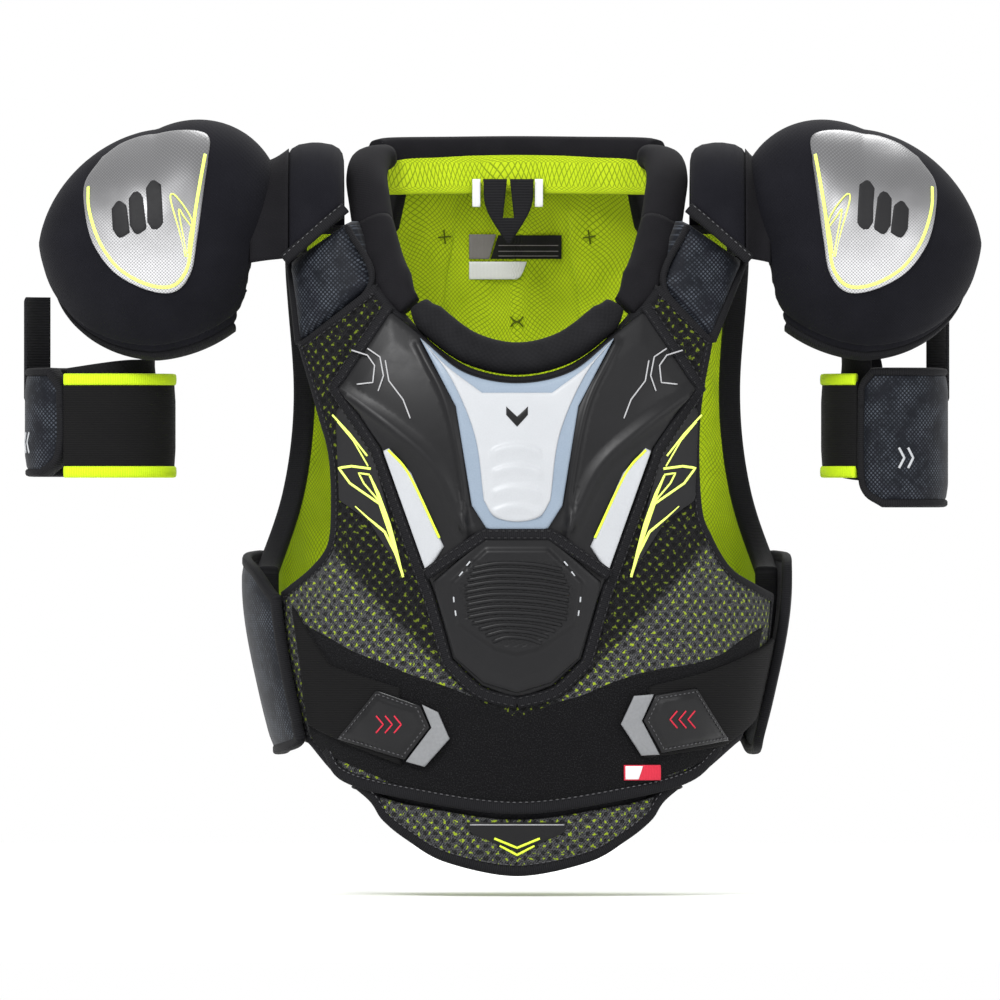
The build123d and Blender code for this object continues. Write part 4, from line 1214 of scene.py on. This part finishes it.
def build_spine():
    """The ribbed plate on the outside of the back."""
    spine = closed([(52, -110), (34, -190), (26, -262)], [(-26, -262)],
                   [(-34, -190), (-52, -110), (-40, -30)], [(40, -30)])

    def vertebrae(u, z, inset):
        return 1.2 * np.minimum(inset / 6, 1) * np.abs(np.sin((z + 30) * np.pi / 29)) ** 0.5

    plate = panel("spine_guard", from_back(spine), back, ON_COVER, 2.8, "plate", "back", 2.6, 3.0, (),
                  vertebrae)
    stands(plate, "black_moulding", "spine_plate")


def build_neck_label():
    """The label blocks, rules and loop tails at the neck, all without lettering."""
    within = inside_out(back)
    blocks = {
        "label_plain": ([(-31, -18.5), (-13.5, -18.5), (-18, -33), (-31, -33)], "label_grey",
                        ("neck_label",)),
        "label_chart": ([(-12, -19), (29, -19), (29, -33), (-17, -33)], "label_black", ()),
        "label_name": ([(-31, -34.6), (5, -34.6), (0, -45), (-31, -45)], "white_cloth", ()),
    }
    for name, (corners, material, nodes) in blocks.items():
        stands(panel(name, straight(corners, 1.5), within, 0.7, 0.8, material, "back", 3.0, 0.5),
               "printed_label", *nodes)
    rules = []
    for k, (z, start, end) in enumerate(((-25, -12, 27), (-28.4, -12, 27), (-31.2, -12, 27))):
        rules.append(tape(f"rule_{k}", smooth_run([(start, z), (end, z)], 2), within, 1.5, 0.5, 0.4,
                          "label_grey", None, sides=6))
    merge("label_rules", rules, "back", "printed_label")
    for k, x in enumerate((-24, 13)):
        tail = straight([(x - 2.4, 14), (x + 2.4, 14), (x + 2.4, -2.5), (x - 2.4, -2.5)], 1.5)
        stands(panel(f"loop_tail_{k}", tail, flat(45.6), 0.0, 0.7, "white_cloth", "back", 3.0, 0.5),
               "printed_label")


def build_hang_loop():
    """The tape loop that the pads hang by."""
    shape = closed([(-20, 14)], [(-18, -4), (-5.5, -25)], [(-4.5, -25)], [(8, -4), (10, 14)], [(-4.2, 14)],
                   [(-1.8, -9)], [(-8.2, -9)], [(-5.8, 14)], step=1.6)
    loop = panel("hang_loop_tape", shape, flat(44.0), 0.0, 1.7, "webbing", "hang_loop", 1.8, 0.7)
    stands(loop, "black_tape", "hang_loop")


def build_collar():
    """The padded roll behind the neck and the flat padded bands at its sides."""
    path = smooth_run([(-82, 36, 26.5), (-74, 42, 28), (-40, 53.5, 28.6), (0, 58, 29), (40, 53.5, 28.6),
                       (74, 42, 28), (82, 36, 26.5)], 3)
    up = np.tile([0.0, 1.0, 0.2], (len(path), 1))
    roll = sweep("back_collar_roll", path, up, 10.6, 7.6, "collar_knit", "back", False, 28, 2.4)
    soft(roll, 0.8, "black_knit", "back_collar")
    facing = smooth_run(
        [(-78, 34, 16), (-40, 46.5, 16.5), (0, 50.8, 17), (40, 46.5, 16.5), (78, 34, 16)], 3)
    strip = sweep("neck_facing", facing, np.tile([0.0, 1.0, 0.0], (len(facing), 1)), 11.5, 0.8,
                  "lining", "back", False, 14, 6.0)
    stands(strip, "lime_lining")
    for side_name, sign in SIDES.items():
        mirror = np.array([sign, 1, 1])
        upper = mirror * smooth_run(
            [(82, 34, 26), (86.5, 22, 24), (88.5, 0, 14), (86.8, -20, 0), (84.5, -36, -15)], 3)
        out = np.tile([sign * 0.35, -0.85, 0.4], (len(upper), 1))
        out[: len(upper) // 2] = [sign * 0.3, -0.35, 0.9]
        band = sweep(f"collar_side_upper_{side_name}", upper, smooth_rows(out), 12.4, 8.2,
                     "collar_knit", "back", False, 28, 2.4)
        soft(band, 0.8, "black_knit", f"collar_upper_{side_name}")
        lower = mirror * smooth_run(
            [(84.6, -35.5, -14.5), (83.5, -39.5, -18.5), (77.5, -59, -39), (69.5, -74.5, -54.5),
             (63, -80.5, -62)], 3)
        out = np.tile([sign * 0.35, -0.85, 0.4], (len(lower), 1))
        share = np.linspace(0, 1, len(lower))
        band = sweep(f"collar_side_lower_{side_name}", lower, out, 12.4, 8.2, "collar_knit", None,
                     False, 28, 2.4, 1 - 0.42 * np.clip((share - 0.7) / 0.3, 0, 1))
        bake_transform(band)
        soft(band, 0.8, "black_knit", f"collar_lower_{side_name}")


def smooth_rows(rows):
    """Directions averaged with their neighbours, so that a band turns gradually."""
    for _ in range(6):
        rows = (np.vstack([rows[:1], rows[:-1]]) + rows + np.vstack([rows[1:], rows[-1:]])) / 3
    return rows


def bend_with_front(piece):
    """Bake the piece's place into its mesh, so that it rides on no CAD body."""
    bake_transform(piece)


def build_clavicle(side_name, sign):
    """The dotted pads between the collar and the shoulder, with their piping and edge tape."""
    outer = CLAVICLE_OUTER[side_name]
    edge = on_front(closed([(134 * sign, -34.5)], [(sign * outer[0], outer[1] + 1)], [(86 * sign, -49)],
                           [(sign * 101, -12)]))
    pad = panel(f"clavicle_pad_{side_name}", edge, front, 0.5, 10.8, "dotted", None, 2.4, 5.0, (),
                puffed(1.6, 11), 0.5)
    bend_with_front(pad)
    soft(pad, 0.6, "dotted_fabric", f"clavicle_panel_{side_name}")
    inner = on_front(smooth_run(
        [(100 * sign, -15), (86 * sign, -50), (sign * (outer[0] - 1), outer[1] - 2)], 2.5))
    cord = tape(f"clavicle_piping_{side_name}", inner, front, 10.8, 3.4, 3.6, "tape", None)
    bend_with_front(cord)
    stands(cord, "black_tape")
    rim = on_front(smooth_run([(134.5 * sign, -35), (sign * (outer[0] + 0.5), outer[1])], 2.5))
    path, up = laid(rim, front, 6.0)
    cord = sweep(f"clavicle_edging_{side_name}", path, up, 3.2, 6.6, "tape", None, False, 16, 3.4)
    bend_with_front(cord)
    stands(cord, "black_tape")


# ------------------------------------------------------------------ side closure
WING_EDGE = {"left": -20.0, "right": -62.0}


def build_wing(side_name, sign):
    """The dotted flap from the back that closes over the side."""
    reach = WING_EDGE[side_name]
    place = side(sign)
    wing_edge = on_side(closed(
        [(6, -207.5), (0.6 * reach, -214), (reach, -232)], [(reach, -306)],
        [(reach + 10, -322), (25, -326), (45, -318)], [(45, -205)]))
    wing = panel(f"wing_pad_{side_name}", shrink(wing_edge, 1.6), place, 16.7, 3.2, "dotted",
                 f"wing_{side_name}", 2.8, 3.0, (), puffed(1.2, 10))
    soft(wing, 0.6, "dotted_fabric", f"wing_{side_name}")
    path, up = laid(shrink(wing_edge, 3.2), place, 18.4)
    stands(sweep(f"wing_edging_{side_name}", path, up, 3.0, 3.0, "tape", f"wing_{side_name}",
                 True, 14, 3.2), "black_tape")


def build_strap(side_name, sign):
    """The elastic strap across the side, with a row of stitching along both edges."""
    root_y = WING_EDGE[side_name] - 5.0
    upper_root, lower_root = [
        (on_side([(root_y, z)])[0][0] + side_girth(z), z) for z in STRAP_ROOT_HEIGHTS[side_name]
    ]
    corners = for_side([upper_root, *on_front(STRAP[side_name]), lower_root], sign)
    strap_edge = straight(corners[1:] + corners[:1])
    rows = [Seam(parallel(corners[:3], -sign * 2.6), 0.8, 0.5),
            Seam(parallel(corners[5:2:-1], sign * 2.6), 0.8, 0.5)]
    strap = panel(f"strap_elastic_{side_name}", strap_edge, front, 13.9, 2.2, "elastic",
                  f"side_strap_{side_name}", 2.4, 1.2, rows)
    stands(strap, "black_elastic", f"strap_band_{side_name}")


def build_tab(side_name, sign):
    """The strap's hook tab: pressed film, stitching, three small marks and a silver chevron."""
    tab_edge = on_front(straight(for_side(TAB[side_name], sign), 2.0))

    def pressed(u, z, inset):
        return 0.7 * np.clip((inset - 3.2) / 1.6, 0, 1) + 0.15 * np.sin(u / 3.1 + z / 4.0)

    tab = panel(f"tab_film_{side_name}", tab_edge, front, 16.3, 1.3, "tab",
                f"side_strap_{side_name}", 1.5, 1.0, (), pressed)
    stands(tab, "black_moulding", f"hook_tab_{side_name}")
    ring = shrink(tab_edge, 2.0)
    stands(stitches(f"tab_stitches_{side_name}", np.vstack([ring, ring[:1]]), front, 17.9,
                    "pale_thread", f"side_strap_{side_name}", 1.7, 1.3, 0.3), "black_tape")
    middle = np.array(TAB[side_name]).mean(axis=0)
    lines = []
    for k, shift in enumerate((-5.0, 0.0, 5.0)):
        start, tip = (middle[0] + shift + 4, middle[1] + 5), (middle[0] + shift, middle[1])
        end = (middle[0] + shift + 4, middle[1] - 5)
        line = pointed(on_front(for_side([start, tip, end], sign)), 1.2)
        lines.append(tape(f"mark_{side_name}_{k}", line, front, 18.5, 1.0, 0.6,
                          "red" if k == 0 else "fine_line", None, sides=6))
    merge(f"tab_marks_{side_name}", lines, f"side_strap_{side_name}", "silver_moulding")
    chevron_edge = on_front(straight(for_side(CHEVRON[side_name], sign), 1.8))
    chevron = panel(f"chevron_film_{side_name}", chevron_edge, front, 16.2, 1.2, "grey_film",
                    f"side_strap_{side_name}", 1.6, 0.8)
    stands(chevron, "silver_moulding", f"tab_chevron_{side_name}")


def build_side_elastic(side_name, sign):
    """The gathered elastic that joins front and back under the wing."""
    low, high = {"left": (-25, -4), "right": (-45, -4)}[side_name]
    elastic_edge = on_side(straight([(low + 0.5, -247), (low + 0.5, -299), (high, -299), (high, -247)], 3))
    gathers = panel(f"side_gusset_{side_name}", elastic_edge, side(sign), 4.0, 2.6, "elastic", None,
                    2.2, 1.0, (), lambda u, z, inset: 0.5 * np.sin(z * 2 * np.pi / 5.5))
    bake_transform(gathers)
    stands(gathers, "black_elastic", f"side_elastic_{side_name}")


# ------------------------------------------------------------------ shoulders
ARCH_BASE, ARCH_RISE, ARCH_FRONT, ARCH_BACK = -30.0, 64.0, 64.0, 84.0
ARCH_MEAN = 66.0  # u on an arch is its angle from the top times this


def over_shoulder(sign):
    """Laid over one shoulder: u runs forwards from the top, v is the distance from the neck."""
    def place(u, v, d):
        turn = u / ARCH_MEAN
        reach = np.where(turn > 0, ARCH_FRONT, ARCH_BACK) + d
        return np.stack(
            [sign * v, -reach * np.sin(turn), ARCH_BASE + (ARCH_RISE + d) * np.cos(turn)], axis=-1)
    return place


def foot(z):
    """u of an arch's foot at height z."""
    return ARCH_MEAN * math.acos((z - ARCH_BASE) / ARCH_RISE)


CAP_CENTRE_X = {"left": 204.0, "right": 212.0}
CAP_CENTRE = (-8.0, -25.0)
CAP_RADIUS = 70.0
CAP_OPENING = Vector((0.20, 0.75, -0.63)).normalized()  # x is towards the neck


def cap_swell(direction):
    """How far the cap's surface stands from a true ball, for directions with x towards the neck."""
    x, _, z = direction.T
    shoulder = 2 * np.clip(x, 0, 1) * np.clip(z, 0, 1)
    flank = 2 * np.clip(-x, 0, 1) * np.abs(z)
    return 1 + 0.20 * shoulder - 0.055 * flank - 0.03 * np.clip(z, 0, 1) * (1 - shoulder)


def build_shoulder(side_name, sign):
    """The padded arch over the shoulder, with a stitched hem at its foot."""
    place = over_shoulder(sign)
    edge = closed([(foot(-37), 135.5)], [(-foot(-12), 135.5)], [(-foot(-12), 102)], [(foot(-5), 102)])
    seams = [Seam([(-foot(-12), 119), (foot(-16), 119)], 1.2, 0.0)]
    pad = panel(f"shoulder_pad_knit_{side_name}", edge, place, -13.0, 11.6, "lycra", "back",
                3.0, 7.0, seams, puffed(2.4, 14), 0.3)
    soft(pad, 0.8, "black_knit", f"shoulder_pad_{side_name}")
    hem = smooth_run([(foot(-5) - 2, 101), (foot(-37) - 2, 137)], 2.5)
    stands(tape(f"shoulder_hem_{side_name}", hem, place, -2.5, 7.0, 4.0, "tape", "back"), "black_tape")
    stands(stitches(f"shoulder_hem_stitches_{side_name}", parallel(hem, 2.2), place, -0.3,
                    "pale_thread", "back", 2.0, 1.6, 0.3), "black_tape")


def build_cap_link(side_name, sign):
    """The bent sleeve of knit between the shoulder arch and the cap."""
    turns = np.linspace(-foot(0), foot(-34), 60)
    pad_side = over_shoulder(sign)(turns, 134.5 + 0 * turns, -2.5 + 0 * turns)
    middle = np.array([sign * (CAP_CENTRE_X[side_name] - 55.0), CAP_CENTRE[0] + 8, CAP_CENTRE[1] - 8])
    turn = turns / ARCH_MEAN
    cap_side = np.stack(
        [middle[0] + 0 * turn, middle[1] - 52 * np.sin(turn), middle[2] + 57 * np.cos(turn)], axis=-1)
    arch_centre = np.array([0, 0, ARCH_BASE])
    rows = []
    for share in np.linspace(0, 1, 12):
        dip = -3.0 * math.sin(math.pi * share)
        middle_row = pad_side * (1 - share) + cap_side * share
        outward = middle_row - arch_centre
        outward[:, 0] = 0
        outward /= np.linalg.norm(outward, axis=1)[:, None]
        rows.append(middle_row + outward * dip)
    rows = np.array(rows)
    inner = rows.copy()
    pull = (inner - arch_centre) * np.array([0, 1, 1])
    inner -= pull / np.linalg.norm(pull, axis=2)[..., None] * 4.0
    n, m = rows.shape[:2]
    points = np.vstack([rows.reshape(-1, 3), inner.reshape(-1, 3)])
    index = np.arange(n * m).reshape(n, m)
    faces = []
    for i in range(n - 1):
        for j in range(m - 1):
            a, b, c, d = index[i, j], index[i, j + 1], index[i + 1, j + 1], index[i + 1, j]
            faces += [(a, b, c, d), (a + n * m, d + n * m, c + n * m, b + n * m)]
    border = [*index[0, :], *index[1:, -1], *index[-1, -2::-1], *index[-2:0:-1, 0]]
    for a, b in zip(border, border[1:] + border[:1]):
        faces.append((b, a, a + n * m, b + n * m))
    lay = np.stack([np.tile(turns, n), np.repeat(np.arange(n) * 2.0, m), np.zeros(n * m)], axis=-1)
    lay = np.vstack([lay, lay])
    faces = [tuple(int(i) for i in f) for f in faces]
    link = make(f"cap_link_knit_{side_name}", points, turned_out(points, faces), "collar_knit", None, lay)
    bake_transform(link)
    soft(link, 0.4, "black_knit", f"cap_link_{side_name}")


def remeshed_dome(side_name):
    """The CAD's cap shell and foam grown together into one softened skin."""
    mesh = bpy.data.meshes.new("cap")
    points, faces = [], []
    for node_name in (f"cap_shell_{side_name}", f"cap_foam_{side_name}"):
        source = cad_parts[node_name].data
        first = len(points)
        points += [tuple(v.co) for v in source.vertices]
        faces += [tuple(first + i for i in p.vertices) for p in source.polygons]
    mesh.from_pydata(points, [], faces)
    dome = bpy.data.objects.new(f"cap_cover_{side_name}", mesh)
    bpy.context.scene.collection.objects.link(dome)
    remesh = dome.modifiers.new("remesh", "REMESH")
    remesh.mode = "VOXEL"
    remesh.voxel_size = 2.1 * MM
    soften = dome.modifiers.new("soften", "SMOOTH")
    soften.factor = 0.6
    soften.iterations = 20
    bpy.context.view_layer.update()
    evaluated = dome.evaluated_get(bpy.context.evaluated_depsgraph_get())
    skin = bpy.data.meshes.new_from_object(evaluated)
    dome.modifiers.clear()
    dome.data = skin
    return dome


def build_cap(side_name, sign):
    """The padded dome, swollen towards the neck, with a bead and a groove along its edge."""
    centre = np.array([sign * CAP_CENTRE_X[side_name], *CAP_CENTRE])
    dome = remeshed_dome(side_name)
    made = dome.data
    co = np.zeros(len(made.vertices) * 3)
    made.vertices.foreach_get("co", co)
    away = co.reshape(-1, 3) / MM - centre
    away[:, 0] *= -sign
    distance = np.linalg.norm(away, axis=1)
    direction = away / distance[:, None]
    depth = away @ np.array(CAP_OPENING)
    outer = distance > CAP_RADIUS - 6
    groove = 1.7 * np.exp(-(((depth - 13.0) / 1.3) ** 2)) * outer
    bead = 0.5 * np.exp(-(((depth - 4.0) / 6.0) ** 2)) * outer
    placed = direction * (distance * cap_swell(direction) - groove + bead)[:, None]
    placed[:, 0] *= -sign
    made.vertices.foreach_set("co", ((placed + centre) * MM).ravel())
    attribute = made.attributes.new("lay", "FLOAT_VECTOR", "POINT")
    lay = direction[:, [0, 2, 1]] * CAP_RADIUS
    attribute.data.foreach_set("vector", lay.astype(np.float32).ravel())
    made.materials.clear()
    made.materials.append(MATERIALS["lycra"])
    made.polygons.foreach_set("use_smooth", [True] * len(made.polygons))
    made.update()
    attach(dome, f"cap_{side_name}")
    soft(dome, 0.8, "black_knit", f"cap_shell_{side_name}", f"cap_foam_{side_name}")
    build_cap_rim(side_name, sign, centre)
    build_badge(side_name, sign)
    build_badge_marks(side_name, sign)


def build_cap_rim(side_name, sign, centre):
    """The ribbed binding round the cap's opening."""
    axis = np.array(CAP_OPENING)
    first = np.cross(axis, [1.0, 0, 0])
    first /= np.linalg.norm(first)
    second = np.cross(axis, first)
    turn = np.linspace(0, 2 * np.pi, 240, endpoint=False)
    ring_depth = 23.5  # of the opening's plane below the cap's centre
    ring_radius = math.sqrt(CAP_RADIUS**2 - ring_depth**2)
    around = np.cos(turn)[:, None] * first + np.sin(turn)[:, None] * second
    ring = axis * ring_depth + ring_radius * around
    link_radius = 49  # the rim stops where the cap link enters
    cut = (ring[:, 0] > 5) & ((ring[:, 1] - 10) ** 2 + (ring[:, 2] + 10) ** 2 < link_radius**2)
    start = int(np.argmax(cut))
    ring = np.roll(ring, -start, axis=0)[~np.roll(cut, -start)]
    out = ring / np.linalg.norm(ring, axis=1)[:, None]
    ring = out * (CAP_RADIUS * cap_swell(out) + 0.2)[:, None]
    flip = np.array([-sign, 1, 1])
    stands(sweep(f"cap_rim_{side_name}", ring * flip + centre, out * flip, 5.4, 2.0, "tape",
                 f"cap_{side_name}", False, 14, 2.8), "black_tape")


def on_cap(side_name, sign):
    """Laid on the front of a cap: u is towards the neck, v up, both from the cap's centre."""
    centre = np.array([sign * CAP_CENTRE_X[side_name], *CAP_CENTRE])

    def place(u, v, d):
        y = -np.sqrt(np.clip(CAP_RADIUS**2 - u * u - v * v, 25.0, None))
        direction = np.stack([u, y, v], axis=-1)
        direction /= np.linalg.norm(direction, axis=1)[:, None]
        point = direction * (CAP_RADIUS * cap_swell(direction) + d)[:, None]
        point[:, 0] *= -sign
        return point + centre
    return place


def build_badge(side_name, sign):
    """The silvered film on the front of a cap."""
    place = on_cap(side_name, sign)
    edge = closed(
        [(-44, 38), (-43, 20), (-37, 0), (-25, -17), (-7, -27), (10, -29), (20, -19), (24, 0), (28, 43)],
        [(26, 58), (0, 66), (-20, 63), (-34, 54)], step=2.0)

    def folds(u, v, inset):
        return 0.5 * np.sin(u / 8 + v / 10) * np.minimum(inset / 8, 1)

    badge = panel(f"badge_film_{side_name}", edge, place, -1.2, 2.6, "badge", f"cap_{side_name}",
                  1.8, 1.6, (), folds)
    stands(badge, "silver_badge", f"cap_badge_{side_name}")


def build_badge_marks(side_name, sign):
    """The lime outline and arrow on a cap's film, and three plain bars."""
    place = on_cap(side_name, sign)
    outline_points = [(26, 47), (22.5, 20), (20.5, 0), (17.5, -16), (9, -25), (-6, -23.5), (-22, -14),
                      (-33, 2), (-39.5, 20), (-41, 34)]
    lines = [tape(f"line_{side_name}", smooth_run(outline_points, 1.6), place, 1.5, 2.1, 0.9,
                  "pale_lime", None, sides=8)]
    arrow = [
        ([(21, 3), (20, 14), (11, 27), (8.5, 25), (14, 5), (17, -8)], 0.9),
        ([(20.5, 9), (16, 15), (13, 19), (16, 3), (18, -8)], 0.8),
        ([(21.5, 11), (20, 2), (19.2, -6)], 2.6),
    ]
    for k, (points, width) in enumerate(arrow):
        lines.append(tape(f"arrow_{side_name}_{k}", smooth_run(points, 1.2), place, 1.5, width, 0.8,
                          "pale_lime", None, sides=8))
    merge(f"badge_lines_{side_name}", lines, f"cap_{side_name}", "lime_lining")
    bars = []
    for k, (low, high, out) in enumerate(((6, 22, -24), (8, 28, -14), (10, 34, -4))):
        bar = closed([(out + 2, high + 3), (out + 7, high)], [(out + 9, low)],
                     [(out + 3, low - 3), (out - 1, low + 2)], [(out - 2, high - 2)], step=1.6)
        bars.append(panel(f"bar_{side_name}_{k}", bar, place, 0.8, 1.2, "accent", None, 2.0, 0.8))
    merge(f"badge_bars_{side_name}", bars, f"cap_{side_name}", "black_moulding")


# ------------------------------------------------------------------ biceps guards
BICEP = {
    "left": {"x": 217.0, "rx": 37.0, "ry": 44.0, "from": -26.0, "bottom": -179.0},
    "right": {"x": 246.0, "rx": 44.0, "ry": 38.0, "from": 31.0, "bottom": -161.0},
}
BICEP_Y, BICEP_TOP = 14.0, -99.0
ARM_SCALE = 0.7  # mm along the cloth for each degree round the arm
STRAP_TOP, STRAP_DROP = -106.0, 52.0


def round_arm(side_name, sign):
    """Laid round one arm: u is the angle outwards from the front, in degrees times ARM_SCALE."""
    size = BICEP[side_name]

    def place(u, z, d):
        turn = np.radians(u / ARM_SCALE)
        return np.stack([
            sign * (size["x"] + (size["rx"] + d) * np.sin(turn)),
            BICEP_Y - (size["ry"] + d) * np.cos(turn), z], axis=-1)
    return place


def build_bicep(side_name, sign):
    """The dotted pad round the arm, with its edge tape and two marks."""
    size = BICEP[side_name]
    place = round_arm(side_name, sign)
    start, end = size["from"] * ARM_SCALE, (size["from"] + 200) * ARM_SCALE
    top, bottom = BICEP_TOP, size["bottom"]
    body = f"bicep_{side_name}"
    edge = closed(
        [(start + 1, top - 9), (start + 9, top)], [(end - 9, top)],
        [(end - 1, top - 9), (end, (top + bottom) / 2), (end - 1, bottom + 12)],
        [(end - 12, bottom)], [(start + 16, bottom)],
        [(start + 4, bottom + 7), (start, bottom + 20), (start, top - 20)])
    pad = panel(f"bicep_pad_cover_{side_name}", edge, place, -10.0, 8.6, "dotted", body, 2.6, 5.0, (),
                puffed(1.8, 12), 0.4)
    soft(pad, 0.7, "dotted_fabric", f"bicep_pad_{side_name}")
    ring = shrink(edge, 1.4)
    path, up = laid(ring, place, -5.2)
    stands(sweep(f"bicep_edging_{side_name}", path, up, 2.6, 5.4, "tape", body, True, 14, 3.0),
           "black_tape")

    mark = []
    for k, shift in enumerate((0.0, 6.0)):
        mid = (start + 30 + shift, (top + bottom) / 2 - 12)
        bent = [(mid[0] - 3.5, mid[1] + 6), mid, (mid[0] - 3.5, mid[1] - 6)]
        line = pointed(bent, 1.2)
        mark.append(tape(f"arm_mark_{side_name}_{k}", line, place, 0.6, 1.6, 0.8,
                         "red" if k else "white", None, sides=6))
    merge(f"bicep_marks_{side_name}", mark, body, "silver_moulding")


def build_sleeve(side_name, sign):
    """The thin mesh that closes the guard round the back of the arm."""
    size = BICEP[side_name]
    bottom = size["bottom"]
    top = {"left": -90, "right": -98}[side_name]
    start, middle, end = [(size["from"] + turn) * ARM_SCALE for turn in (-148, -75, 6)]
    edge = closed([(start, top), (middle, top + 5), (end, top)], [(end, bottom + 14)],
                  [(start, bottom + 20)])
    sleeve = panel(f"bicep_sleeve_lining_{side_name}", edge, round_arm(side_name, sign), -13.0, 2.2,
                   "roll_mesh", f"bicep_{side_name}", 3.2, 1.0, (),
                   lambda u, z, inset: 0.8 * np.sin(z / 6 + u / 14))
    soft(sleeve, 0.3, "black_mesh")


def build_arm_strap(side_name, sign):
    """The elastic round the arm, with lime hems."""
    size = BICEP[side_name]
    place = round_arm(side_name, sign)
    strap_body = f"bicep_strap_{side_name}"
    start, end = [(size["from"] + turn) * ARM_SCALE for turn in (-151.5, -1.5)]
    low = STRAP_TOP - STRAP_DROP
    strap_edge = straight([(start, low), (end, low), (end, STRAP_TOP), (start, STRAP_TOP)], 2.5)
    strap = panel(f"arm_strap_elastic_{side_name}", strap_edge, place, -2.4, 2.2, "elastic", strap_body,
                  2.6, 1.2, (), puffed(0.8, 12))
    stands(strap, "black_elastic", f"bicep_strap_{side_name}")
    hems = []
    for k, z in enumerate((STRAP_TOP + 1.2, low - 1.2)):
        line = smooth_run([(start + 1, z), (end - 1, z)], 2.0)
        hems.append(tape(f"hem_{side_name}_{k}", line, place, -1.0, 7.0, 4.4, "lime_tape", None,
                         sides=12, squareness=3.4))
    merge(f"arm_strap_hems_{side_name}", hems, strap_body, "lime_lining")


def build_hanger(side_name, sign):
    """The webbing that the guard hangs from."""
    hang_from, hang_to = 104 * ARM_SCALE, 138 * ARM_SCALE
    webbing_edge = straight([(hang_from, -118), (hang_to, -118), (hang_to, -56), (hang_from, -56)], 2.5)
    webbing = panel(f"arm_webbing_{side_name}", webbing_edge, round_arm(side_name, sign), 0.4, 2.4,
                    "webbing", f"bicep_{side_name}", 2.6, 1.0)
    stands(webbing, "black_tape", f"bicep_hanger_{side_name}")


# ------------------------------------------------------------------ the object
build_front_vest()
build_front_edging()
build_plate()
build_plexus_hem()
build_sternum()
build_plexus()
build_plexus_ribs()
build_landing()
build_neck_roll()
build_extension()
build_extension_badge()
build_back()
build_lining_ties()
build_spine()
build_neck_label()
build_hang_loop()
build_collar()
for side_name, sign in SIDES.items():
    build_clavicle(side_name, sign)
    build_wing(side_name, sign)
    build_strap(side_name, sign)
    build_tab(side_name, sign)
    build_side_elastic(side_name, sign)
    build_shoulder(side_name, sign)
    build_cap_link(side_name, sign)
    build_cap(side_name, sign)
    build_bicep(side_name, sign)
    build_sleeve(side_name, sign)
    build_arm_strap(side_name, sign)
    build_hanger(side_name, sign)


# ------------------------------------------------------------------ floor, light and camera
def build_floor():
    """A pale floor just under the lowest point of the object."""
    lowest = cad_box[0].z - 0.012
    span = 2.2
    mesh = bpy.data.meshes.new("floor")
    corners = [(x * span, y * span, lowest) for x, y in ((-1, -1), (1, -1), (1, 1), (-1, 1))]
    mesh.from_pydata(corners, [], [(0, 1, 2, 3)])
    floor = bpy.data.objects.new("floor", mesh)
    bpy.context.scene.collection.objects.link(floor)
    material, _, shader = start_material("floor", 0.9, specular=0.1)
    shader.inputs["Base Color"].default_value = (0.93, 0.93, 0.93, 1)
    mesh.materials.append(material)


def add_light(name, place, aim, size, power, tint=(1, 1, 1)):
    light = bpy.data.lights.new(name, "AREA")
    light.shape = "DISK"
    light.size, light.energy, light.color = size, power, tint
    lamp = bpy.data.objects.new(name, light)
    lamp.location = place
    lamp.rotation_mode = "QUATERNION"
    lamp.rotation_quaternion = (Vector(aim) - Vector(place)).to_track_quat("-Z", "Y")
    lamp.visible_camera = False
    bpy.context.scene.collection.objects.link(lamp)


def build_light_and_camera():
    """A white studio, three soft lamps and a far camera that sees the object almost flat."""
    world = bpy.data.worlds.new("studio")
    world.use_nodes = True
    world.node_tree.nodes["Background"].inputs[0].default_value = (1, 1, 1, 1)
    world.node_tree.nodes["Background"].inputs[1].default_value = 1.0
    bpy.context.scene.world = world
    middle = (0, -0.05, -0.15)
    add_light("key", (-0.9, -2.0, 1.7), middle, 0.9, 62)
    add_light("fill", (1.5, -1.9, 0.5), middle, 1.3, 12)
    add_light("rim", (0.3, 1.6, 1.6), middle, 1.2, 26)
    camera = bpy.data.objects.new("camera", bpy.data.cameras.new("camera"))
    view_width, distance = 0.586, 15.0
    camera.data.sensor_width = 36
    camera.data.lens = 36 * distance / view_width
    camera.location = (-0.010, -0.09 - distance, -0.1758)
    camera.rotation_euler = (math.radians(90), 0, 0)
    camera.data.clip_end = 50
    bpy.context.scene.collection.objects.link(camera)
    bpy.context.scene.camera = camera
    bpy.context.scene.view_settings.view_transform = "Standard"


build_floor()
build_light_and_camera()
